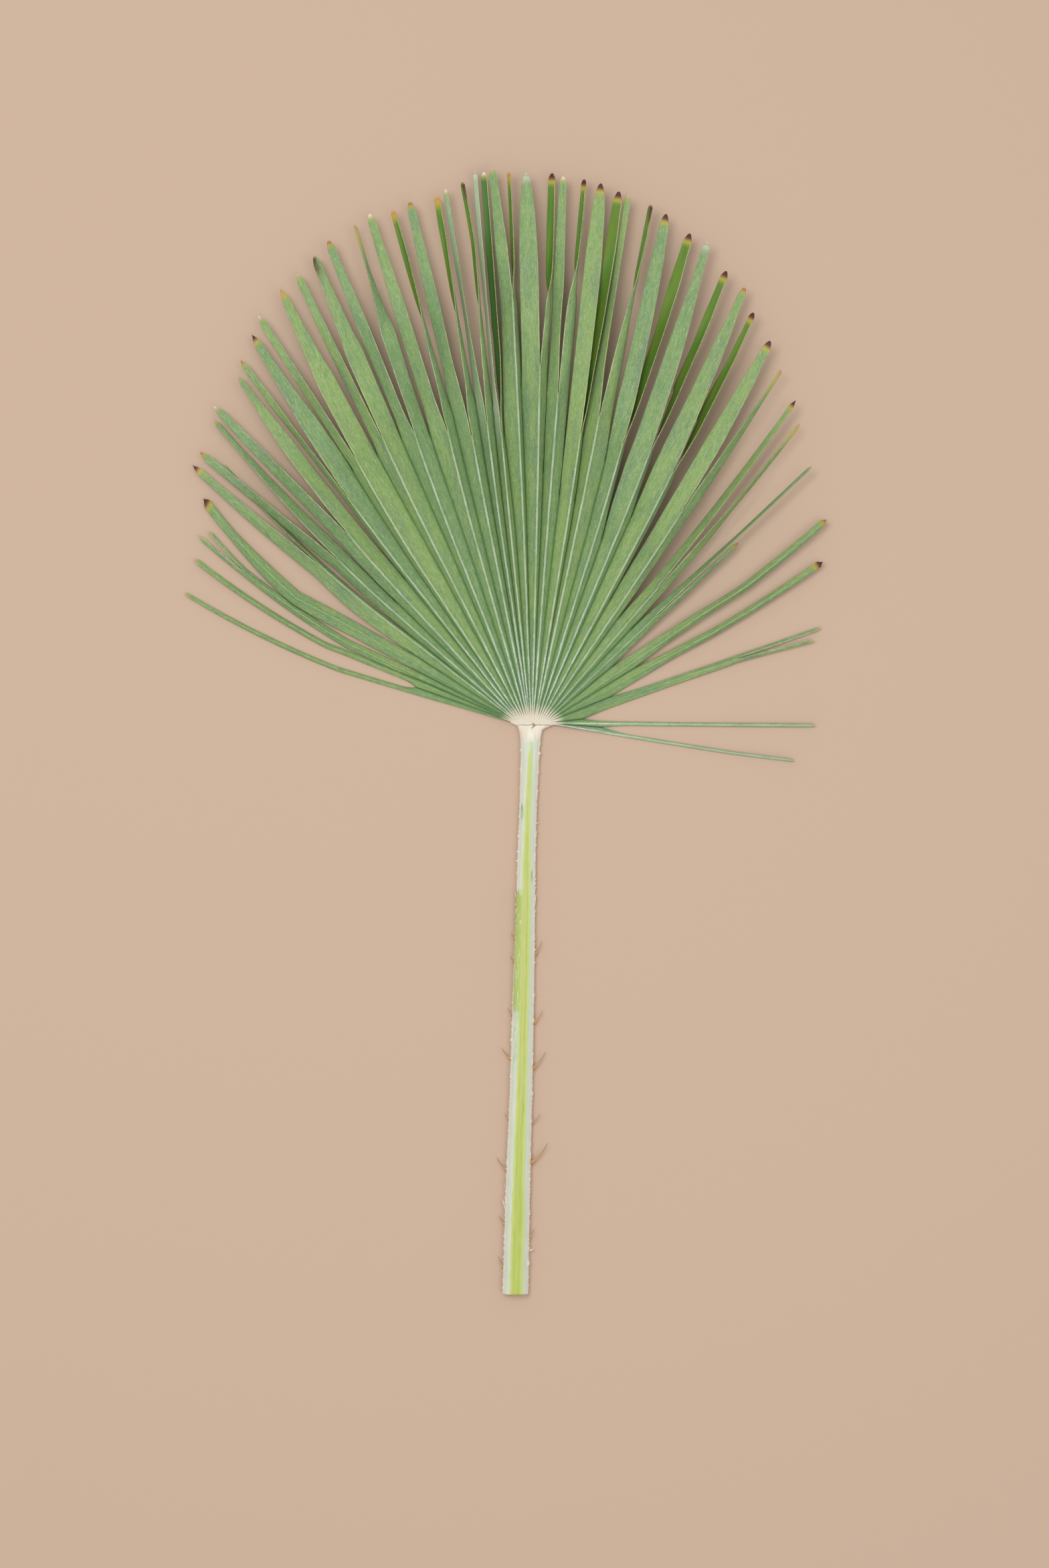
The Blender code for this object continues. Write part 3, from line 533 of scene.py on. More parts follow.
def to_points(edge):
    return [np.append(along(angle) * radius, height) for angle, radius, height in edge]


def interpolate_sharp(pairs, value):
    return float(np.interp(value, [pair[0] for pair in pairs], [pair[1] for pair in pairs]))


def head_point(start, part, raised):
    """A fold's point on top of the head, between its start and the line across the stalk."""
    x = start[0] + (HEAD_LINE_MIDDLE + HEAD_LINE_SHRINK * start[0] - start[0]) * part
    y = start[1] + (HEAD_LINE - start[1]) * part
    flute = raised * HEAD_FLUTE * (1 - 0.75 * part)
    return np.array((x, y, head_height(x) + HEAD_COVER * (1 - 0.5 * part) + flute))


def laid_halves():
    chance = random.Random(7)
    halves = []
    for index in range(len(SEGMENTS)):
        for side in ("left", "right"):
            lift = chance.uniform(-0.5, 1.0) * TIP_LIFT
            halves.append(HalfBlade(index, side, lift))
    for blade in halves:
        blade.lay()
    for row in range(max(len(blade.radii) for blade in halves)):
        shown = [blade for blade in halves if row < len(blade.radii) and not blade.own["under"]]
        for left, right in zip(shown, shown[1:]):
            open_gap(left, right, row)
    return halves


def open_gap(left, right, row):
    """Keeps free neighbours at least LEAST_GAP apart in plan, by moving both edges alike."""
    radius = left.radii[row]
    left_edge = left.outer_edge(row, 1)
    right_edge = right.outer_edge(row, -1)
    if left.index == right.index and right_edge is right.edge:
        return
    lacking = LEAST_GAP - math.radians(right_edge[row][0] - left_edge[row][0]) * right_edge[row][1]
    movable = []
    if left.movable(left_edge, radius):
        movable.append((left_edge, -1))
    if right.movable(right_edge, radius):
        movable.append((right_edge, 1))
    if lacking <= 0 or not movable:
        return
    for edge, turn in movable:
        edge[row][0] += turn * math.degrees(lacking / len(movable) / right_edge[row][1])


class Fan:
    """Gathers the patches of all halves in one mesh, with what the material reads at each corner."""

    def __init__(self):
        self.points = []
        self.shared = {}
        self.quads = []
        self.facts = {name: [] for name in FACTS}
        self.tints = []

    def vertex(self, key, place):
        """A vertex that two halves may share, so the first one's place holds."""
        if key not in self.shared:
            self.shared[key] = len(self.points)
            self.points.append(place)
        return self.shared[key]

    def add_half(self, blade, tone):
        ridge, edge, radii = blade.rows()
        chord = edge - ridge
        width = np.linalg.norm(chord, axis=1)
        middle = (ridge + edge) / 2
        course = np.gradient(middle, axis=0)
        outward = np.cross(course, chord) if blade.turn < 0 else np.cross(chord, course)
        outward /= np.maximum(np.linalg.norm(outward, axis=1, keepdims=True), 1e-12)
        curl = blade_curl(blade, radii)
        number = np.zeros((len(radii), len(COLUMNS)), int)
        facts = {name: np.zeros(number.shape) for name in FACTS}
        tints = np.zeros((*number.shape, 4))
        for row, radius in enumerate(radii):
            key_radius = round(radius * 1e6)
            ridge_own = blade.side if blade.ridge_free(radius) else "both"
            edge_own = blade.side if blade.valley_free(radius) else "both"
            step = min(STRIPE_HALF, 0.3 * width[row])
            rim = min(RIM_COLUMN, 0.15 * width[row])
            places = column_places(width[row], step, rim)
            crest = CREST_RISE * (1 if ridge_own == "both" else 0.25) * smooth((radius + 0.004) / 0.03)
            for column, place in enumerate(places):
                part = place / max(width[row], 1e-9)
                point = ridge[row] + chord[row] * part + outward[row] * curl[row] * 4 * part * (1 - part)
                rise = crest * max(0.0, 1 - (place / step) ** 2) if step else 0
                if column == 0:
                    point = point + np.array((0, 0, rise))
                    key = ("ridge", blade.index, ridge_own, key_radius)
                elif column == len(places) - 1:
                    key = ("valley", blade.valley, edge_own, key_radius)
                else:
                    point = point + outward[row] * rise
                    key = ("inside", blade.index, blade.side, column, key_radius)
                number[row, column] = self.vertex(key, point)
                facts["from_ridge"][row, column] = place
                facts["from_valley"][row, column] = width[row] - place
            tints[row, :] = tip_tint(blade.look, (blade.tip_radius - radius) / MM)
            if blade.look == "streak":
                tints[row, :, 3] *= STREAK_FADE
        by_row = {"radius": radii, "past_fork": radii - blade.fork_radius, "past_split": radii - blade.split,
                  "tone": tone, "wool": SEGMENT_WOOL[blade.index], "shade": SHADES.get(blade.name, 0.0)}
        for name, values in by_row.items():
            facts[name][:] = np.reshape(values, (-1, 1))
        self.add_quads(blade, number, facts, tints)

    def add_quads(self, blade, number, facts, tints):
        corners = ((0, 0), (1, 0), (1, 1), (0, 1)) if blade.turn < 0 else ((0, 0), (0, 1), (1, 1), (1, 0))
        rows, columns = number.shape
        picks = [np.s_[a:rows - 1 + a, b:columns - 1 + b] for a, b in corners]
        self.quads.append(np.stack([number[pick] for pick in picks], axis=-1).reshape(-1, 4))
        for name in FACTS:
            stacked = np.stack([facts[name][pick] for pick in picks], axis=-1)
            self.facts[name].append(stacked.reshape(-1))
        stacked = np.stack([tints[pick] for pick in picks], axis=2)
        self.tints.append(stacked.reshape(-1, 4))

    def mesh(self, name):
        mesh = bpy.data.meshes.new(name)
        quads = np.concatenate(self.quads)
        mesh.from_pydata([tuple(point) for point in self.points], [], quads.tolist())
        for fact in FACTS:
            layer = mesh.attributes.new(fact, "FLOAT", "CORNER")
            layer.data.foreach_set("value", np.concatenate(self.facts[fact]).astype(np.float32))
        layer = mesh.attributes.new("tip_tint", "FLOAT_COLOR", "CORNER")
        layer.data.foreach_set("color", np.concatenate(self.tints).astype(np.float32).ravel())
        mesh.update()
        return mesh


def column_places(width, step, rim):
    """Distances from the ridge edge: close over the ridge's stripe and at the valley edge."""
    inside = width - step - rim
    return [0.0, step / 2, step, step + inside * 0.33, step + inside * 0.67, width - rim, width]


def blade_curl(blade, radii):
    """How far the cross-section bulges outward."""
    most = CURLS.get(blade.name, 0.0) * MM
    free_from = max(blade.split, blade.fork_radius if blade.fork else 0.0)
    return [CAMBER * smooth(radius / 0.2) * smooth((blade.tip_radius - radius) / 0.03)
            + most * smooth((radius - free_from) / 0.03) * smooth((blade.tip_radius - radius) / 0.03)
            for radius in radii]


def tip_tint(look, before):
    """The tint of a tip at a distance before it, as a colour and its strength."""
    bands = TIP_BANDS[look]
    distances = [band[0] for band in bands]
    return [float(np.interp(before, distances, [band[1][part] for band in bands])) for part in range(4)]


# Stalk: distance down from the origin, sideways place, width and thickness, in millimetres
STALK = ((5.5, -0.9, 17.9, 7.4), (12, -1.0, 15.4, 7.8), (20, -1.2, 14.1, 8.0), (44, -2.1, 13.3, 8.1),
    (62, -2.7, 12.9, 8.2), (98, -3.9, 13.4, 8.4), (134, -4.7, 14.0, 8.6), (168, -5.5, 15.2, 8.8),
    (240, -7.2, 16.5, 9.4), (277, -8.1, 16.8, 9.6), (341, -10.3, 18.0, 10.0), (404, -11.8, 18.8, 10.4),
    (428, -12.3, 19.2, 10.6))
NECK = ((0.5, 0.4, 31.0, 6.5), (1.0, 0.9, 29.2, 6.6), (1.5, 1.4, 27.6, 6.8), (2.0, 1.5, 26.2, 6.9),
    (2.6, 1.2, 24.4, 7.0), (3.3, 0.5, 22.4, 7.1), (4.0, -0.1, 20.6, 7.2), (4.7, -0.5, 19.1, 7.3))
STALK_END = 428.0
STALK_STEP = 0.8
STALK_SIDES = 44

# The lime stripe: distance down, centre aside from the stalk's middle, half its width
LIME = ((11, 0.2, 0.0), (20, 0.1, 1.1), (26, 0.0, 1.5), (44, 0.1, 2.0), (62, -0.2, 2.15), (80, -0.1, 2.3),
    (98, 0.0, 2.8), (134, 0.2, 3.3), (168, 0.4, 3.6), (240, 0.3, 3.8), (341, 0.3, 4.3), (366, 0.6, 5.0),
    (428, 0.4, 4.9))


def stalk_size(down):
    """Sideways place, width and thickness at a distance down the stalk, in millimetres."""
    return [interpolate_sharp([(row[0], row[part]) for row in STALK], down) for part in (1, 2, 3)]


def stalk_section(width, thickness):
    """A cross-section in metres: flat below, rounded above, from the lower left corner to the right."""
    points = []
    for step in range(STALK_SIDES):
        turn = math.pi * step / (STALK_SIDES - 1)
        side = -math.cos(turn)
        up = max(0.0, math.sin(turn))
        x = width / 2 * math.copysign(abs(side) ** 0.75, side)
        points.append((x, thickness * (0.3 + 0.7 * up ** 0.8)))
    flat = 0.36 * width
    return [(-flat, 0.0)] + points + [(flat, 0.0)]


def stalk_stations():
    """(y, x, width, thickness) in metres from the head's front edge down to the cut end."""
    stations = []
    for part in (0.97, 0.93, 0.87, 0.8, 0.7, 0.55, 0.4, 0.2, 0.0):
        width = 2 * HEAD_HALF_WIDTH * math.sqrt(1 - part ** 2)
        stations.append((part * HEAD_DEPTH, 0.0, width, (6.4 - 1.2 * part) * MM))
    for down, *sizes in NECK:
        stations.append([-down * MM] + [size * MM for size in sizes])
    for down in [*np.arange(5.5, STALK_END - 0.2, STALK_STEP), STALK_END]:
        stations.append([-down * MM] + [size * MM for size in stalk_size(down)])
    return stations


STALK_FACTS = ("aside", "down", "stripe", "margin", "along_spine")


class Stalk:
    """Gathers the stalk, its scurf and its spines in one mesh."""

    def __init__(self):
        self.points = []
        self.faces = []
        self.slots = []
        self.facts = []
        self.chance = random.Random(23)

    def add_point(self, place, aside=0.0, down=0.0, stripe=9.0, margin=0.0, along_spine=0.0):
        self.points.append(tuple(place))
        self.facts.append((aside, down, stripe, margin, along_spine))
        return len(self.points) - 1

    def add_face(self, corners, slot):
        self.faces.append(corners)
        self.slots.append(slot)

    def tube(self, rings, slot):
        """Joins rings of points, and closes both ends."""
        for here, beyond in zip(rings, rings[1:]):
            for number in range(len(here)):
                following = (number + 1) % len(here)
                self.add_face((here[number], here[following], beyond[following], beyond[number]), slot)
        self.add_face(tuple(rings[0][::-1]), slot)
        self.add_face(tuple(rings[-1]), slot)

    def body(self):
        rings = []
        for y, x, width, thickness in stalk_stations():
            down = -y / MM
            ring = []
            for px, pz in stalk_section(width, thickness):
                beside = abs(px) / (width / 2)
                ragged = self.ragged(px, down, pz) * smooth((beside - 0.8) / 0.2) * smooth((down - 8) / 10)
                swell = RIB_RISE * (noise.noise(Vector((px / MM * 1.3, down * 0.03, 4.0)))) * (1 - beside)
                place = (x + px + math.copysign(ragged, px), y, pz + (swell if pz > 0.6 * thickness else 0))
                centre = interpolate_sharp([row[:2] for row in LIME], down)
                half_width = interpolate_sharp([(row[0], row[2]) for row in LIME], down)
                stripe = abs(px / MM - centre) - half_width + 2.0 * (down < 13)
                ring.append(self.add_point(place, px / MM, down, stripe, (width / 2 - abs(px)) / MM))
            rings.append(ring)
        for front, back in zip(rings, rings[1:]):
            for number, vertex in enumerate(front):
                beyond = (number + 1) % len(front)
                self.add_face((vertex, back[number], back[beyond], front[beyond]), 0)
        self.add_face(tuple(rings[0]), 0)
        self.cut_end(rings[-1])

    def ragged(self, px, down, pz):
        """How far the scurfy margin stands out or is worn back."""
        side = math.copysign(7.0, px)
        coarse = noise.noise(Vector((side, down * 0.16, pz * 60)))
        fine = noise.noise(Vector((side * 3, down * 0.8, pz * 250)))
        teeth = max(0.0, noise.noise(Vector((side * 5, down * 0.42, pz * 40))) - 0.1)
        return (0.5 * coarse + 0.7 * fine + 2.0 * teeth) * MM

    def cut_end(self, ring):
        """The cut face: rings towards the middle, a little rough."""
        y = -STALK_END * MM
        places = [Vector(self.points[number]) for number in ring]
        middle = sum(places, Vector()) / len(places)
        outer = ring
        for part in (0.93, 0.8, 0.6, 0.4, 0.2):
            inner = []
            for place in places:
                spot = middle.lerp(place, part)
                spot.y = y + 0.5 * MM * noise.noise(spot / MM * 0.9) * (1 - part * 0.6)
                inner.append(self.add_point(spot, 0, STALK_END, 9, 2))
            for number in range(len(ring)):
                beyond = (number + 1) % len(ring)
                self.add_face((outer[number], inner[number], inner[beyond], outer[beyond]), 2)
            outer = inner
        self.add_face(tuple(outer[::-1]), 2)

    def side_point(self, side, down, height):
        """A point on the margin, in metres."""
        aside, width, thickness = stalk_size(down)
        return Vector((aside + side * width / 2, -down, height * thickness)) * MM

    def flake(self, side, down, length, width, out, lift, bend):
        """A thin curled scale of dry skin that stands off the margin and lifts at its free end."""
        start = self.side_point(side, down, 0.45) - Vector((side * 0.2 * MM, 0, 0))
        course = Vector((side * math.sin(out), math.cos(out), 0.0))
        beside = Vector((course.y, -course.x, 0.0))
        rows = []
        for part in (0.0, 0.3, 0.6, 0.85, 1.0):
            half_width = width / 2 * MM * (1 - part ** 2.2) * (0.6 + part) + 0.06 * MM
            rise = Vector((0, 0, lift * part * part)) * MM
            outward = beside * (bend * length * MM * part * part * side)
            centre = start + course * (length * MM * part) + rise + outward
            corners = ((-1, 0), (0, 0.15 * MM), (1, 0), (0, -0.15 * MM))
            places = [centre + beside * half_width * turn + Vector((0, 0, up)) for turn, up in corners]
            rows.append([self.add_point(place, 9, down, 9, -1) for place in places])
        self.tube(rows, 3)

    def scurf(self):
        chance = self.chance
        for side in (-1, 1):
            down = 16.0
            while down < STALK_END - 6:
                down += chance.uniform(1.5, 8.0) * (1.8 if down < 100 else 1)
                self.flake(side, min(down, STALK_END - 4), chance.uniform(0.8, 2.2), chance.uniform(0.9, 2.0),
                           math.radians(chance.uniform(-30, 40)), chance.uniform(-0.5, 0.8),
                           chance.uniform(-0.3, 0.2))
        for side, down, length, width, out, bend in LONG_FLAKES:
            self.flake(side, down, length, width, math.radians(out), 0.8, bend)

    def spine(self, side, down, length, radius, out):
        """A slim cone with a swollen root, hooked towards the blade."""
        start = self.side_point(side, down, 0.42)
        rings = []
        for part in (-0.3, -0.12, 0.0, 0.1, 0.25, 0.42, 0.6, 0.78, 0.92, 1.0):
            turn = math.radians(out * (1.12 - 0.34 * max(part, 0.0)))
            course = Vector((side * math.sin(turn), math.cos(turn), 0.03))
            centre = start + course * (part * length * MM)
            size = radius * MM * interpolate_sharp(SPINE_OUTLINE, part)
            beside = Vector((course.y, -course.x, 0))
            ring = []
            for step in range(SPINE_SIDES):
                spin = 2 * math.pi * step / SPINE_SIDES
                offset = beside * math.cos(spin) + Vector((0, 0, 0.8)) * math.sin(spin)
                ring.append(self.add_point(centre + offset * size, 9, down, 9, -1, max(part, 0.0)))
            rings.append(ring)
        self.tube(rings, 1)

    def mesh(self, name):
        mesh = bpy.data.meshes.new(name)
        mesh.from_pydata(self.points, [], self.faces)
        table = np.array(self.facts, np.float32)
        for number, fact in enumerate(STALK_FACTS):
            layer = mesh.attributes.new(fact, "FLOAT", "POINT")
            layer.data.foreach_set("value", np.ascontiguousarray(table[:, number]))
        mesh.polygons.foreach_set("material_index", self.slots)
        mesh.polygons.foreach_set("use_smooth", [True] * len(self.faces))
        mesh.update()
        return mesh


RIB_RISE = 0.35 * MM
SPINE_SIDES = 12
SPINE_OUTLINE = ((-0.3, 1.25), (0, 1.1), (0.08, 0.8), (0.2, 0.42), (0.5, 0.3), (0.8, 0.2), (1, 0.05))

# Long scales that stand off the margins: side, distance down, length, width, angle out and bend
LONG_FLAKES = ((1, 138, 10, 1.1, 5, 0.02), (1, 37, 3.5, 0.5, 30, -0.5), (1, 33, 3.0, 0.5, -20, 0.6),
    (-1, 132, 6, 1.1, 10, 0.05), (-1, 366, 10, 1.2, 9, 0.08), (-1, 350, 5, 0.9, 14, 0.1),
    (1, 76, 2.5, 0.7, 40, 0.2), (1, 84, 3.0, 0.8, 10, 0.3), (1, 396, 4, 1.8, 60, 0.2))


class Shader:
    """Short names for the nodes of one material, whose colours are laid over each other."""

    def __init__(self, name, tone):
        self.material = bpy.data.materials.new(name)
        self.material.use_nodes = True
        self.tree = self.material.node_tree
        self.surface = self.tree.nodes["Principled BSDF"].inputs
        self.tone = tone

    def put(self, socket, value):
        if isinstance(value, bpy.types.NodeSocket):
            self.tree.links.new(value, socket)
        else:
            socket.default_value = value

    def node(self, kind, inputs, output=0, **settings):
        """A new node's output. inputs gives what goes into each socket, by its name or number."""
        node = self.tree.nodes.new("ShaderNode" + kind)
        for name, value in settings.items():
            setattr(node, name, value)
        for socket, value in inputs.items():
            self.put(node.inputs[socket], value)
        return node.outputs[output]

    def fact(self, name, output="Fac"):
        return self.node("Attribute", {}, output, attribute_name=name)

    def math(self, operation, *values):
        return self.node("Math", dict(enumerate(values)), operation=operation)

    def times(self, product, *factors):
        for factor in factors:
            product = self.math("MULTIPLY", product, factor)
        return product

    def moved(self, value, grain, amount):
        """A value with some grain added, so that what is drawn from it wanders."""
        return self.math("MULTIPLY_ADD", grain, amount, value)

    def ease(self, value, low, high, start=0.0, end=1.0):
        """start up to low, end beyond high, and a soft step between."""
        inputs = {"Value": value, "From Min": low, "From Max": high, "To Min": start, "To Max": end}
        return self.node("MapRange", inputs, "Result", interpolation_type="SMOOTHSTEP")

    def ease_mm(self, value, low, high, *ends):
        """The same for a value in metres, with low and high in millimetres."""
        return self.ease(value, low * MM, high * MM, *ends)

    def noise(self, place, detail=2.0, roughness=0.5):
        inputs = {"Vector": place, "Scale": 1.0, "Detail": detail, "Roughness": roughness}
        return self.node("TexNoise", inputs, "Fac")

    def place(self, *values):
        return self.node("CombineXYZ", dict(enumerate(values)))

    def mix(self, part, first, second):
        return self.node("Mix", {"Factor": part, 6: first, 7: second}, 2, data_type="RGBA")

    def lay(self, part, tone):
        """Lays a colour over those before it, which it hides where part is 1."""
        self.tone = self.mix(part, self.tone, tone)

    def bump(self, height, strength, distance):
        inputs = {"Strength": strength, "Distance": distance, "Height": height}
        self.put(self.surface["Normal"], self.node("Bump", inputs))

    def finish(self, roughness, specular=0.5):
        self.put(self.surface["Base Color"], self.tone)
        self.surface["Roughness"].default_value = roughness
        self.surface["Specular IOR Level"].default_value = specular
        return self.material


def blade_grain(shader, across_scale, along_scale, seed, *settings):
    """Noise drawn out along the blade. The scales are repeats per metre."""
    x = shader.times(shader.fact("from_ridge"), across_scale)
    y = shader.times(shader.fact("radius"), along_scale)
    z = shader.moved(seed, shader.fact("tone"), 37.0)
    return shader.noise(shader.place(x, y, z), *settings)


def tint_tips(shader):
    shader.lay(shader.fact("tip_tint", "Alpha"), shader.fact("tip_tint", "Color"))


def outer_face():
    """The grey-green underside: bloom in fine flecks, woolly ridges, pale free edges."""
    shader = Shader("frond_underside", BLOOM_BLUISH)
    lay, times, ease, ease_mm = shader.lay, shader.times, shader.ease, shader.ease_mm
    from_ridge = shader.fact("from_ridge")
    from_valley = shader.fact("from_valley")
    radius = shader.fact("radius")
    past_fork = shader.fact("past_fork")
    past_split = shader.fact("past_split")
    flecks = blade_grain(shader, 1500, 190, 1.0, 5.0, 0.7)
    specks = blade_grain(shader, 2300, 700, 61.0, 3.0)
    patches = blade_grain(shader, 150, 26, 71.0, 3.0)
    mottle = blade_grain(shader, 260, 55, 5.0, 3.0)
    veins = blade_grain(shader, 2100, 14, 9.0)
    lay(ease(shader.moved(mottle, shader.fact("tone"), 0.35), 0.42, 0.92), BLOOM_YELLOWISH)
    lay(ease(veins, 0.5, 0.75, 0, 0.35), VEIN_GREEN)
    lay(times(ease(patches, 0.48, 0.68), ease_mm(past_fork, -120, -20, 0.2, 0.6)), BLOOM_GREY)
    lay(ease(flecks, 0.3, 0.5, 0.42, 0), VEIN_GREEN)
    lay(ease(flecks, 0.46, 0.76, 0, 0.5), BLOOM_WHITE)
    lay(times(ease(specks, 0.52, 0.72, 0, 0.42), ease_mm(radius, 50, 150, 0.2, 1)), BLOOM_WHITE)
    lay(ease_mm(radius, 25, 110, 0.3, 0), DEEP_GREEN)
    # A half's whitish bloom (above zero) and painted shade (below zero) show past its fork, or all along
    # where the segment has none
    shown_from = shader.math("ADD", ease_mm(past_fork, -20, 25), ease_mm(past_fork, -500, -450, 1, 0))
    shade = times(shader.fact("shade"), shown_from)
    lay(times(shade, 0.5), FRAYED_GREY)
    lay(times(shade, -0.6), DEEP_GREEN)
    # Painted shade in the creases: valleys are darker, and darkest in the slit just before they split
    lay(times(ease_mm(from_valley, 0.2, 2.0, 0.6, 0), ease_mm(past_split, 0, 20, 1, 0)), DEEP_GREEN)
    lay(times(ease_mm(from_valley, 0.15, 0.5, 1, 0), ease_mm(past_split, -55, -12, 0.35, 0.9),
              ease_mm(past_split, 0, 3, 1, 0)), SLIT_SHADE_GREEN)
    # The woolly stripe on each ridge ends at the fork
    wool = blade_grain(shader, 1800, 500, 3.0)
    half_width = times(ease_mm(radius, 8, 70, 0.42 * MM, 0.6 * MM), ease_mm(past_fork, -30, 0, 1, 0.45))
    reach = shader.moved(shader.math("SUBTRACT", from_ridge, 0.5 * MM), wool, 1.3 * MM)
    stripe = ease_mm(shader.math("SUBTRACT", reach, half_width), -0.3, 0.45, 1, 0)
    wear = times(ease(blade_grain(shader, 300, 60, 51.0, 4.0, 0.65), 0.36, 0.62, 0.34, 0.8),
                 ease_mm(radius, 20, 70, 1.15, 1))
    strength = times(ease_mm(past_fork, -8, 6, 1, 0), shader.fact("wool"), wear)
    woolly = shader.mix(ease_mm(radius, 25, 110), WOOL_WHITE, RIDGE_WOOL)
    lay(times(stripe, strength), shader.mix(ease_mm(radius, 2, 11), HEAD_CREAM, woolly))
    # Torn edges are pale, and all turns cream at the head
    frayed = blade_grain(shader, 120, 90, 81.0, 4.0, 0.7)
    lay(times(ease_mm(from_ridge, 0.2, 0.5, 1, 0), ease_mm(past_fork, -2, 6, 0, 0.75),
              ease(frayed, 0.4, 0.62, 0.2, 1), ease_mm(past_fork, 30, 110, 1, 0.35)), MARGIN_CREAM)
    lay(times(ease_mm(from_valley, 0.1, 0.3, 1, 0), ease_mm(past_split, 10, 40, 0, 0.35)), MARGIN_YELLOW)
    lay(times(ease_mm(radius, 2, 11, 0.9, 0), ease_mm(from_valley, 0.3, 0.75)), HEAD_CREAM)
    lay(ease_mm(radius, -1.5, 4, 1, 0), HEAD_CREAM)
    tint_tips(shader)
    shader.bump(shader.moved(veins, flecks, 0.5), 0.35, 0.12 * MM)
    return shader.finish(0.62, 0.35)


def inner_face():
    """The upper face, bright green and smooth, with fine parallel veins."""
    shader = Shader("frond_face", BRIGHT_GREEN)
    lay, times, ease_mm = shader.lay, shader.times, shader.ease_mm
    veins = blade_grain(shader, 2600, 10, 19.0)
    lay(shader.ease(blade_grain(shader, 200, 40, 15.0), 0.35, 0.65), BRIGHT_YELLOWISH)
    lay(shader.ease(veins, 0.5, 0.75, 0, 0.35), BRIGHT_VEIN)
    # Painted shade on halves whose shade value is below zero
    lay(times(shader.fact("shade"), -0.7), DEEP_GREEN)
    lay(times(ease_mm(shader.fact("from_ridge"), 0.2, 0.5, 1, 0),
              ease_mm(shader.fact("past_fork"), -2, 6, 0, 0.7)), MARGIN_CREAM)
    tint_tips(shader)
    shader.bump(veins, 0.3, 0.1 * MM)
    return shader.finish(0.6, 0.25)


def cut_rim():
    """The blade's pale edge."""
    shader = Shader("frond_edge", RIM_GREEN)
    shader.lay(shader.ease(blade_grain(shader, 900, 700, 29.0), 0.4, 0.65), MARGIN_YELLOW)
    shader.lay(shader.ease_mm(shader.fact("radius"), 10, 60, 1, 0), HEAD_CREAM)
    tint_tips(shader)
    return shader.finish(0.6)


def stalk_grain(shader, across_scale, along_scale, seed, *settings):
    """Noise drawn out along the stalk. The scales are repeats per millimetre."""
    x = shader.times(shader.fact("aside"), across_scale)
    y = shader.times(shader.fact("down"), along_scale)
    return shader.noise(shader.place(x, y, seed), *settings)


def stalk_skin():
    """Cream and mint bands beside a lime stripe, with scurf on the margins."""
    shader = Shader("stalk_skin", MINT_BAND)
    lay, times, ease, moved, mix = shader.lay, shader.times, shader.ease, shader.moved, shader.mix
    down = shader.fact("down")
    aside = shader.fact("aside")
    from_stripe = shader.fact("stripe")
    fibre = stalk_grain(shader, 2.2, 0.05, 1.0, 3.0)
    speck = stalk_grain(shader, 1.4, 0.7, 4.0, 3.0, 0.6)
    cloud = stalk_grain(shader, 0.25, 0.06, 8.0, 3.0)
    wander = stalk_grain(shader, 0.5, 0.12, 12.0, 4.0)
    lay(ease(fibre, 0.35, 0.65), CREAM_BAND)
    lay(ease(cloud, 0.45, 0.65, 0, 0.5), CREAM_BAND)
    lay(times(ease(from_stripe, -0.4, 2.0, 0.7, 0), ease(aside, 0, 1)), GREY_GREEN)
    lay(ease(moved(shader.fact("margin"), speck, 1.6), 1.2, 2.6, 0.95, 0), SCURF_CREAM)
    lay(ease(speck, 0.6, 0.72, 0, 0.4), SCURF_PINKISH)
    # The lime stripe, with a beige streak along its middle
    stripe = moved(from_stripe, wander, 2.2)
    lime = mix(ease(fibre, 0.3, 0.7), LIME_DEEP, LIME_LIGHT)
    lime = mix(ease(stripe, -1.6, 0.6), lime, LIME_PALE)
    middle = moved(shader.math("ABSOLUTE", aside), wander, 2.4)
    beige = times(ease(middle, 1.3, 2.8, 0.5, 0), ease(down, 90, 125), ease(down, 250, 330, 1, 0.35))
    lay(ease(stripe, 0.6, 1.5, 1, 0), mix(beige, lime, STREAK_BEIGE))
    for top, bottom, inner, outer, seed, cover, tone in SCUFFS:
        rub = stalk_grain(shader, 1.1, 0.13, seed, 4.0, 0.65)
        edge = moved(down, rub, 14.0)
        lack = 0.62 - 0.36 * cover
        lay(times(ease(edge, top + 5, top + 8), ease(edge, bottom + 2, bottom + 9, 1, 0),
                  ease(aside, inner - 0.4, inner + 0.4), ease(aside, outer - 0.8, outer + 0.8, 1, 0),
                  ease(rub, lack, lack + 0.07, 0, 0.9)), tone)
    # The cream head, with a brown line under its lip and an olive mark in the middle
    lay(ease(down, 8, 16, 1, 0), mix(ease(cloud, 0.4, 0.6), HEAD_CREAM, SCURF_CREAM))
    line = shader.math("ABSOLUTE", moved(shader.math("SUBTRACT", down, 2.1), cloud, 1.2))
    off_middle = shader.math("ABSOLUTE", shader.math("SUBTRACT", aside, 2.0))
    lay(times(ease(line, 0.15, 0.5, 1, 0), ease(off_middle, 11, 13, 0.8, 0)), LINE_BROWN)
    mark_x = shader.math("SUBTRACT", aside, moved(0.7, down, -0.18))
    mark_y = times(shader.math("SUBTRACT", down, 0.8), 0.3)
    oval = shader.math("ADD", times(mark_x, mark_x), times(mark_y, mark_y))
    lay(ease(oval, 0.7, 1.5, 0.85, 0), MARK_OLIVE)
    shader.bump(moved(fibre, speck, 0.6), 0.4, 0.25 * MM)
    return shader.finish(0.5, 0.4)


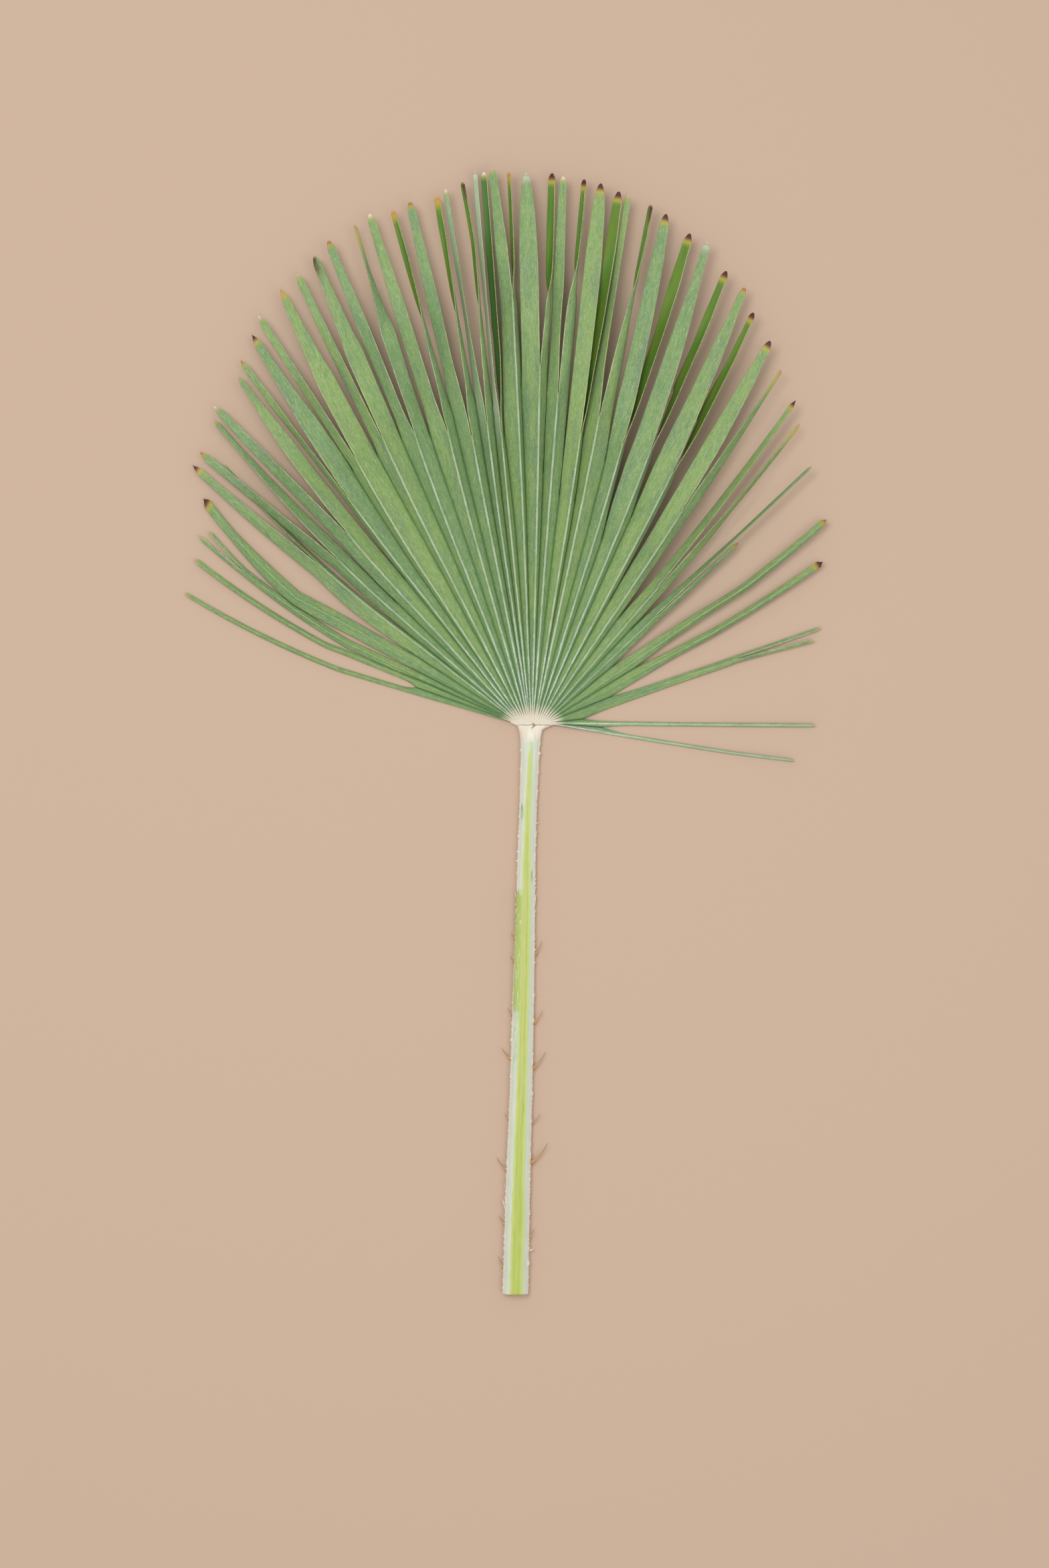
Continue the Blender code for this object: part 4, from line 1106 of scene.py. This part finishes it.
def spine_horn():
    """Orange-brown at the swollen root, straw in the middle, dark at the point."""
    shader = Shader("spine_horn", SPINE_ROOT)
    part = shader.moved(shader.fact("along_spine"), stalk_grain(shader, 2.0, 1.5, 21.0), 0.12)
    shader.lay(shader.ease(part, 0.02, 0.22), SPINE_STRAW)
    shader.lay(shader.ease(part, 0.3, 0.7), SPINE_BROWN)
    shader.lay(shader.ease(part, 0.75, 1.0), SPINE_DARK)
    return shader.finish(0.35)


def plain_grain(name, first, second, scale):
    """A two-tone speckled material for the cut end and the scurf."""
    shader = Shader(name, first)
    place = shader.node("TexCoord", {}, "Object")
    place = shader.node("VectorMath", {0: place, "Scale": scale}, operation="SCALE")
    grain = shader.noise(place, 3.0, 0.6)
    shader.lay(shader.ease(grain, 0.38, 0.62), second)
    shader.bump(grain, 0.4, 0.2 * MM)
    return shader.finish(0.8)


def linked(name, data):
    item = bpy.data.objects.new(name, data)
    bpy.context.scene.collection.objects.link(item)
    return item


def shown(name, mesh, slot, *nodes):
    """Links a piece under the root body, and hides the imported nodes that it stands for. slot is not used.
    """
    piece = linked(name, mesh)
    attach(piece, "root")
    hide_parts(*nodes)
    return piece


def fan_piece():
    fan = Fan()
    chance = random.Random(11)
    for blade in laid_halves():
        fan.add_half(blade, chance.random())
    mesh = fan.mesh("fan_blade_looks")
    mesh.polygons.foreach_set("use_smooth", [True] * len(mesh.polygons))
    for made in (outer_face(), inner_face(), cut_rim()):
        mesh.materials.append(made)
    piece = shown("fan_blade_looks", mesh, "blade", "fan_blade")
    skin = piece.modifiers.new("thickness", "SOLIDIFY")
    skin.thickness = BLADE_THICKNESS
    skin.offset = 0
    skin.material_offset = 1
    skin.material_offset_rim = 2
    graph = bpy.context.evaluated_depsgraph_get()
    solid = bpy.data.meshes.new_from_object(piece.evaluated_get(graph))
    piece.modifiers.clear()
    piece.data = solid
    lowest = min(vertex.co.z for vertex in solid.vertices)
    for vertex in solid.vertices:
        vertex.co.z -= lowest
    return piece


def stalk_piece():
    stalk = Stalk()
    stalk.body()
    stalk.scurf()
    for row in SPINES:
        stalk.spine(*row)
    mesh = stalk.mesh("petiole_looks")
    cut = plain_grain("stalk_cut", CUT_PALE, CUT_FIBRE, 900.0)
    scurf = plain_grain("stalk_scurf", SCURF_CREAM, SCURF_PINKISH, 700.0)
    for made in (stalk_skin(), spine_horn(), cut, scurf):
        mesh.materials.append(made)
    return shown("petiole_looks", mesh, "stalk", "petiole")


def floor():
    mesh = bpy.data.meshes.new("floor")
    half_side = 4.0
    mesh.from_pydata([(-half_side, -half_side, 0), (half_side, -half_side, 0), (half_side, half_side, 0),
                      (-half_side, half_side, 0)], [], [(0, 1, 2, 3)])
    item = linked("floor", mesh)
    item.location.z = -0.0002
    mesh.materials.append(Shader("pale_floor", FLOOR_PALE).finish(0.9))


def area_light(name, place, target, size, power, tone):
    light = bpy.data.lights.new(name, "AREA")
    light.shape = "DISK"
    light.size = size
    light.energy = power
    light.color = tone
    item = linked(name, light)
    item.location = place
    item.rotation_euler = (Vector(target) - Vector(place)).to_track_quat("-Z", "Y").to_euler()


def studio():
    floor()
    area_light("key", (-0.75, 0.6, 2.9), (0, 0, 0), 1.5, 37.0, (1.0, 0.98, 0.95))
    area_light("fill", (0.9, -0.5, 3.0), (0, 0, 0), 2.6, 24.0, (1.0, 0.99, 0.97))
    world = bpy.data.worlds.new("studio")
    world.use_nodes = True
    world.node_tree.nodes["Background"].inputs["Color"].default_value = (1.0, 0.97, 0.94, 1)
    world.node_tree.nodes["Background"].inputs["Strength"].default_value = 0.57
    bpy.context.scene.world = world
    bpy.context.scene.view_settings.view_transform = "Standard"
    lens = bpy.data.cameras.new("camera")
    lens.sensor_fit = "VERTICAL"
    lens.sensor_height = 36.0
    lens.lens = 85.0
    camera = linked("camera", lens)
    distance = PHOTO_HEIGHT * PIXEL / lens.sensor_height * lens.lens
    camera.location = (*VIEW_CENTRE, distance + CAMERA_FOCUS_HEIGHT)
    bpy.context.scene.camera = camera


studio()
fan_piece()
stalk_piece()
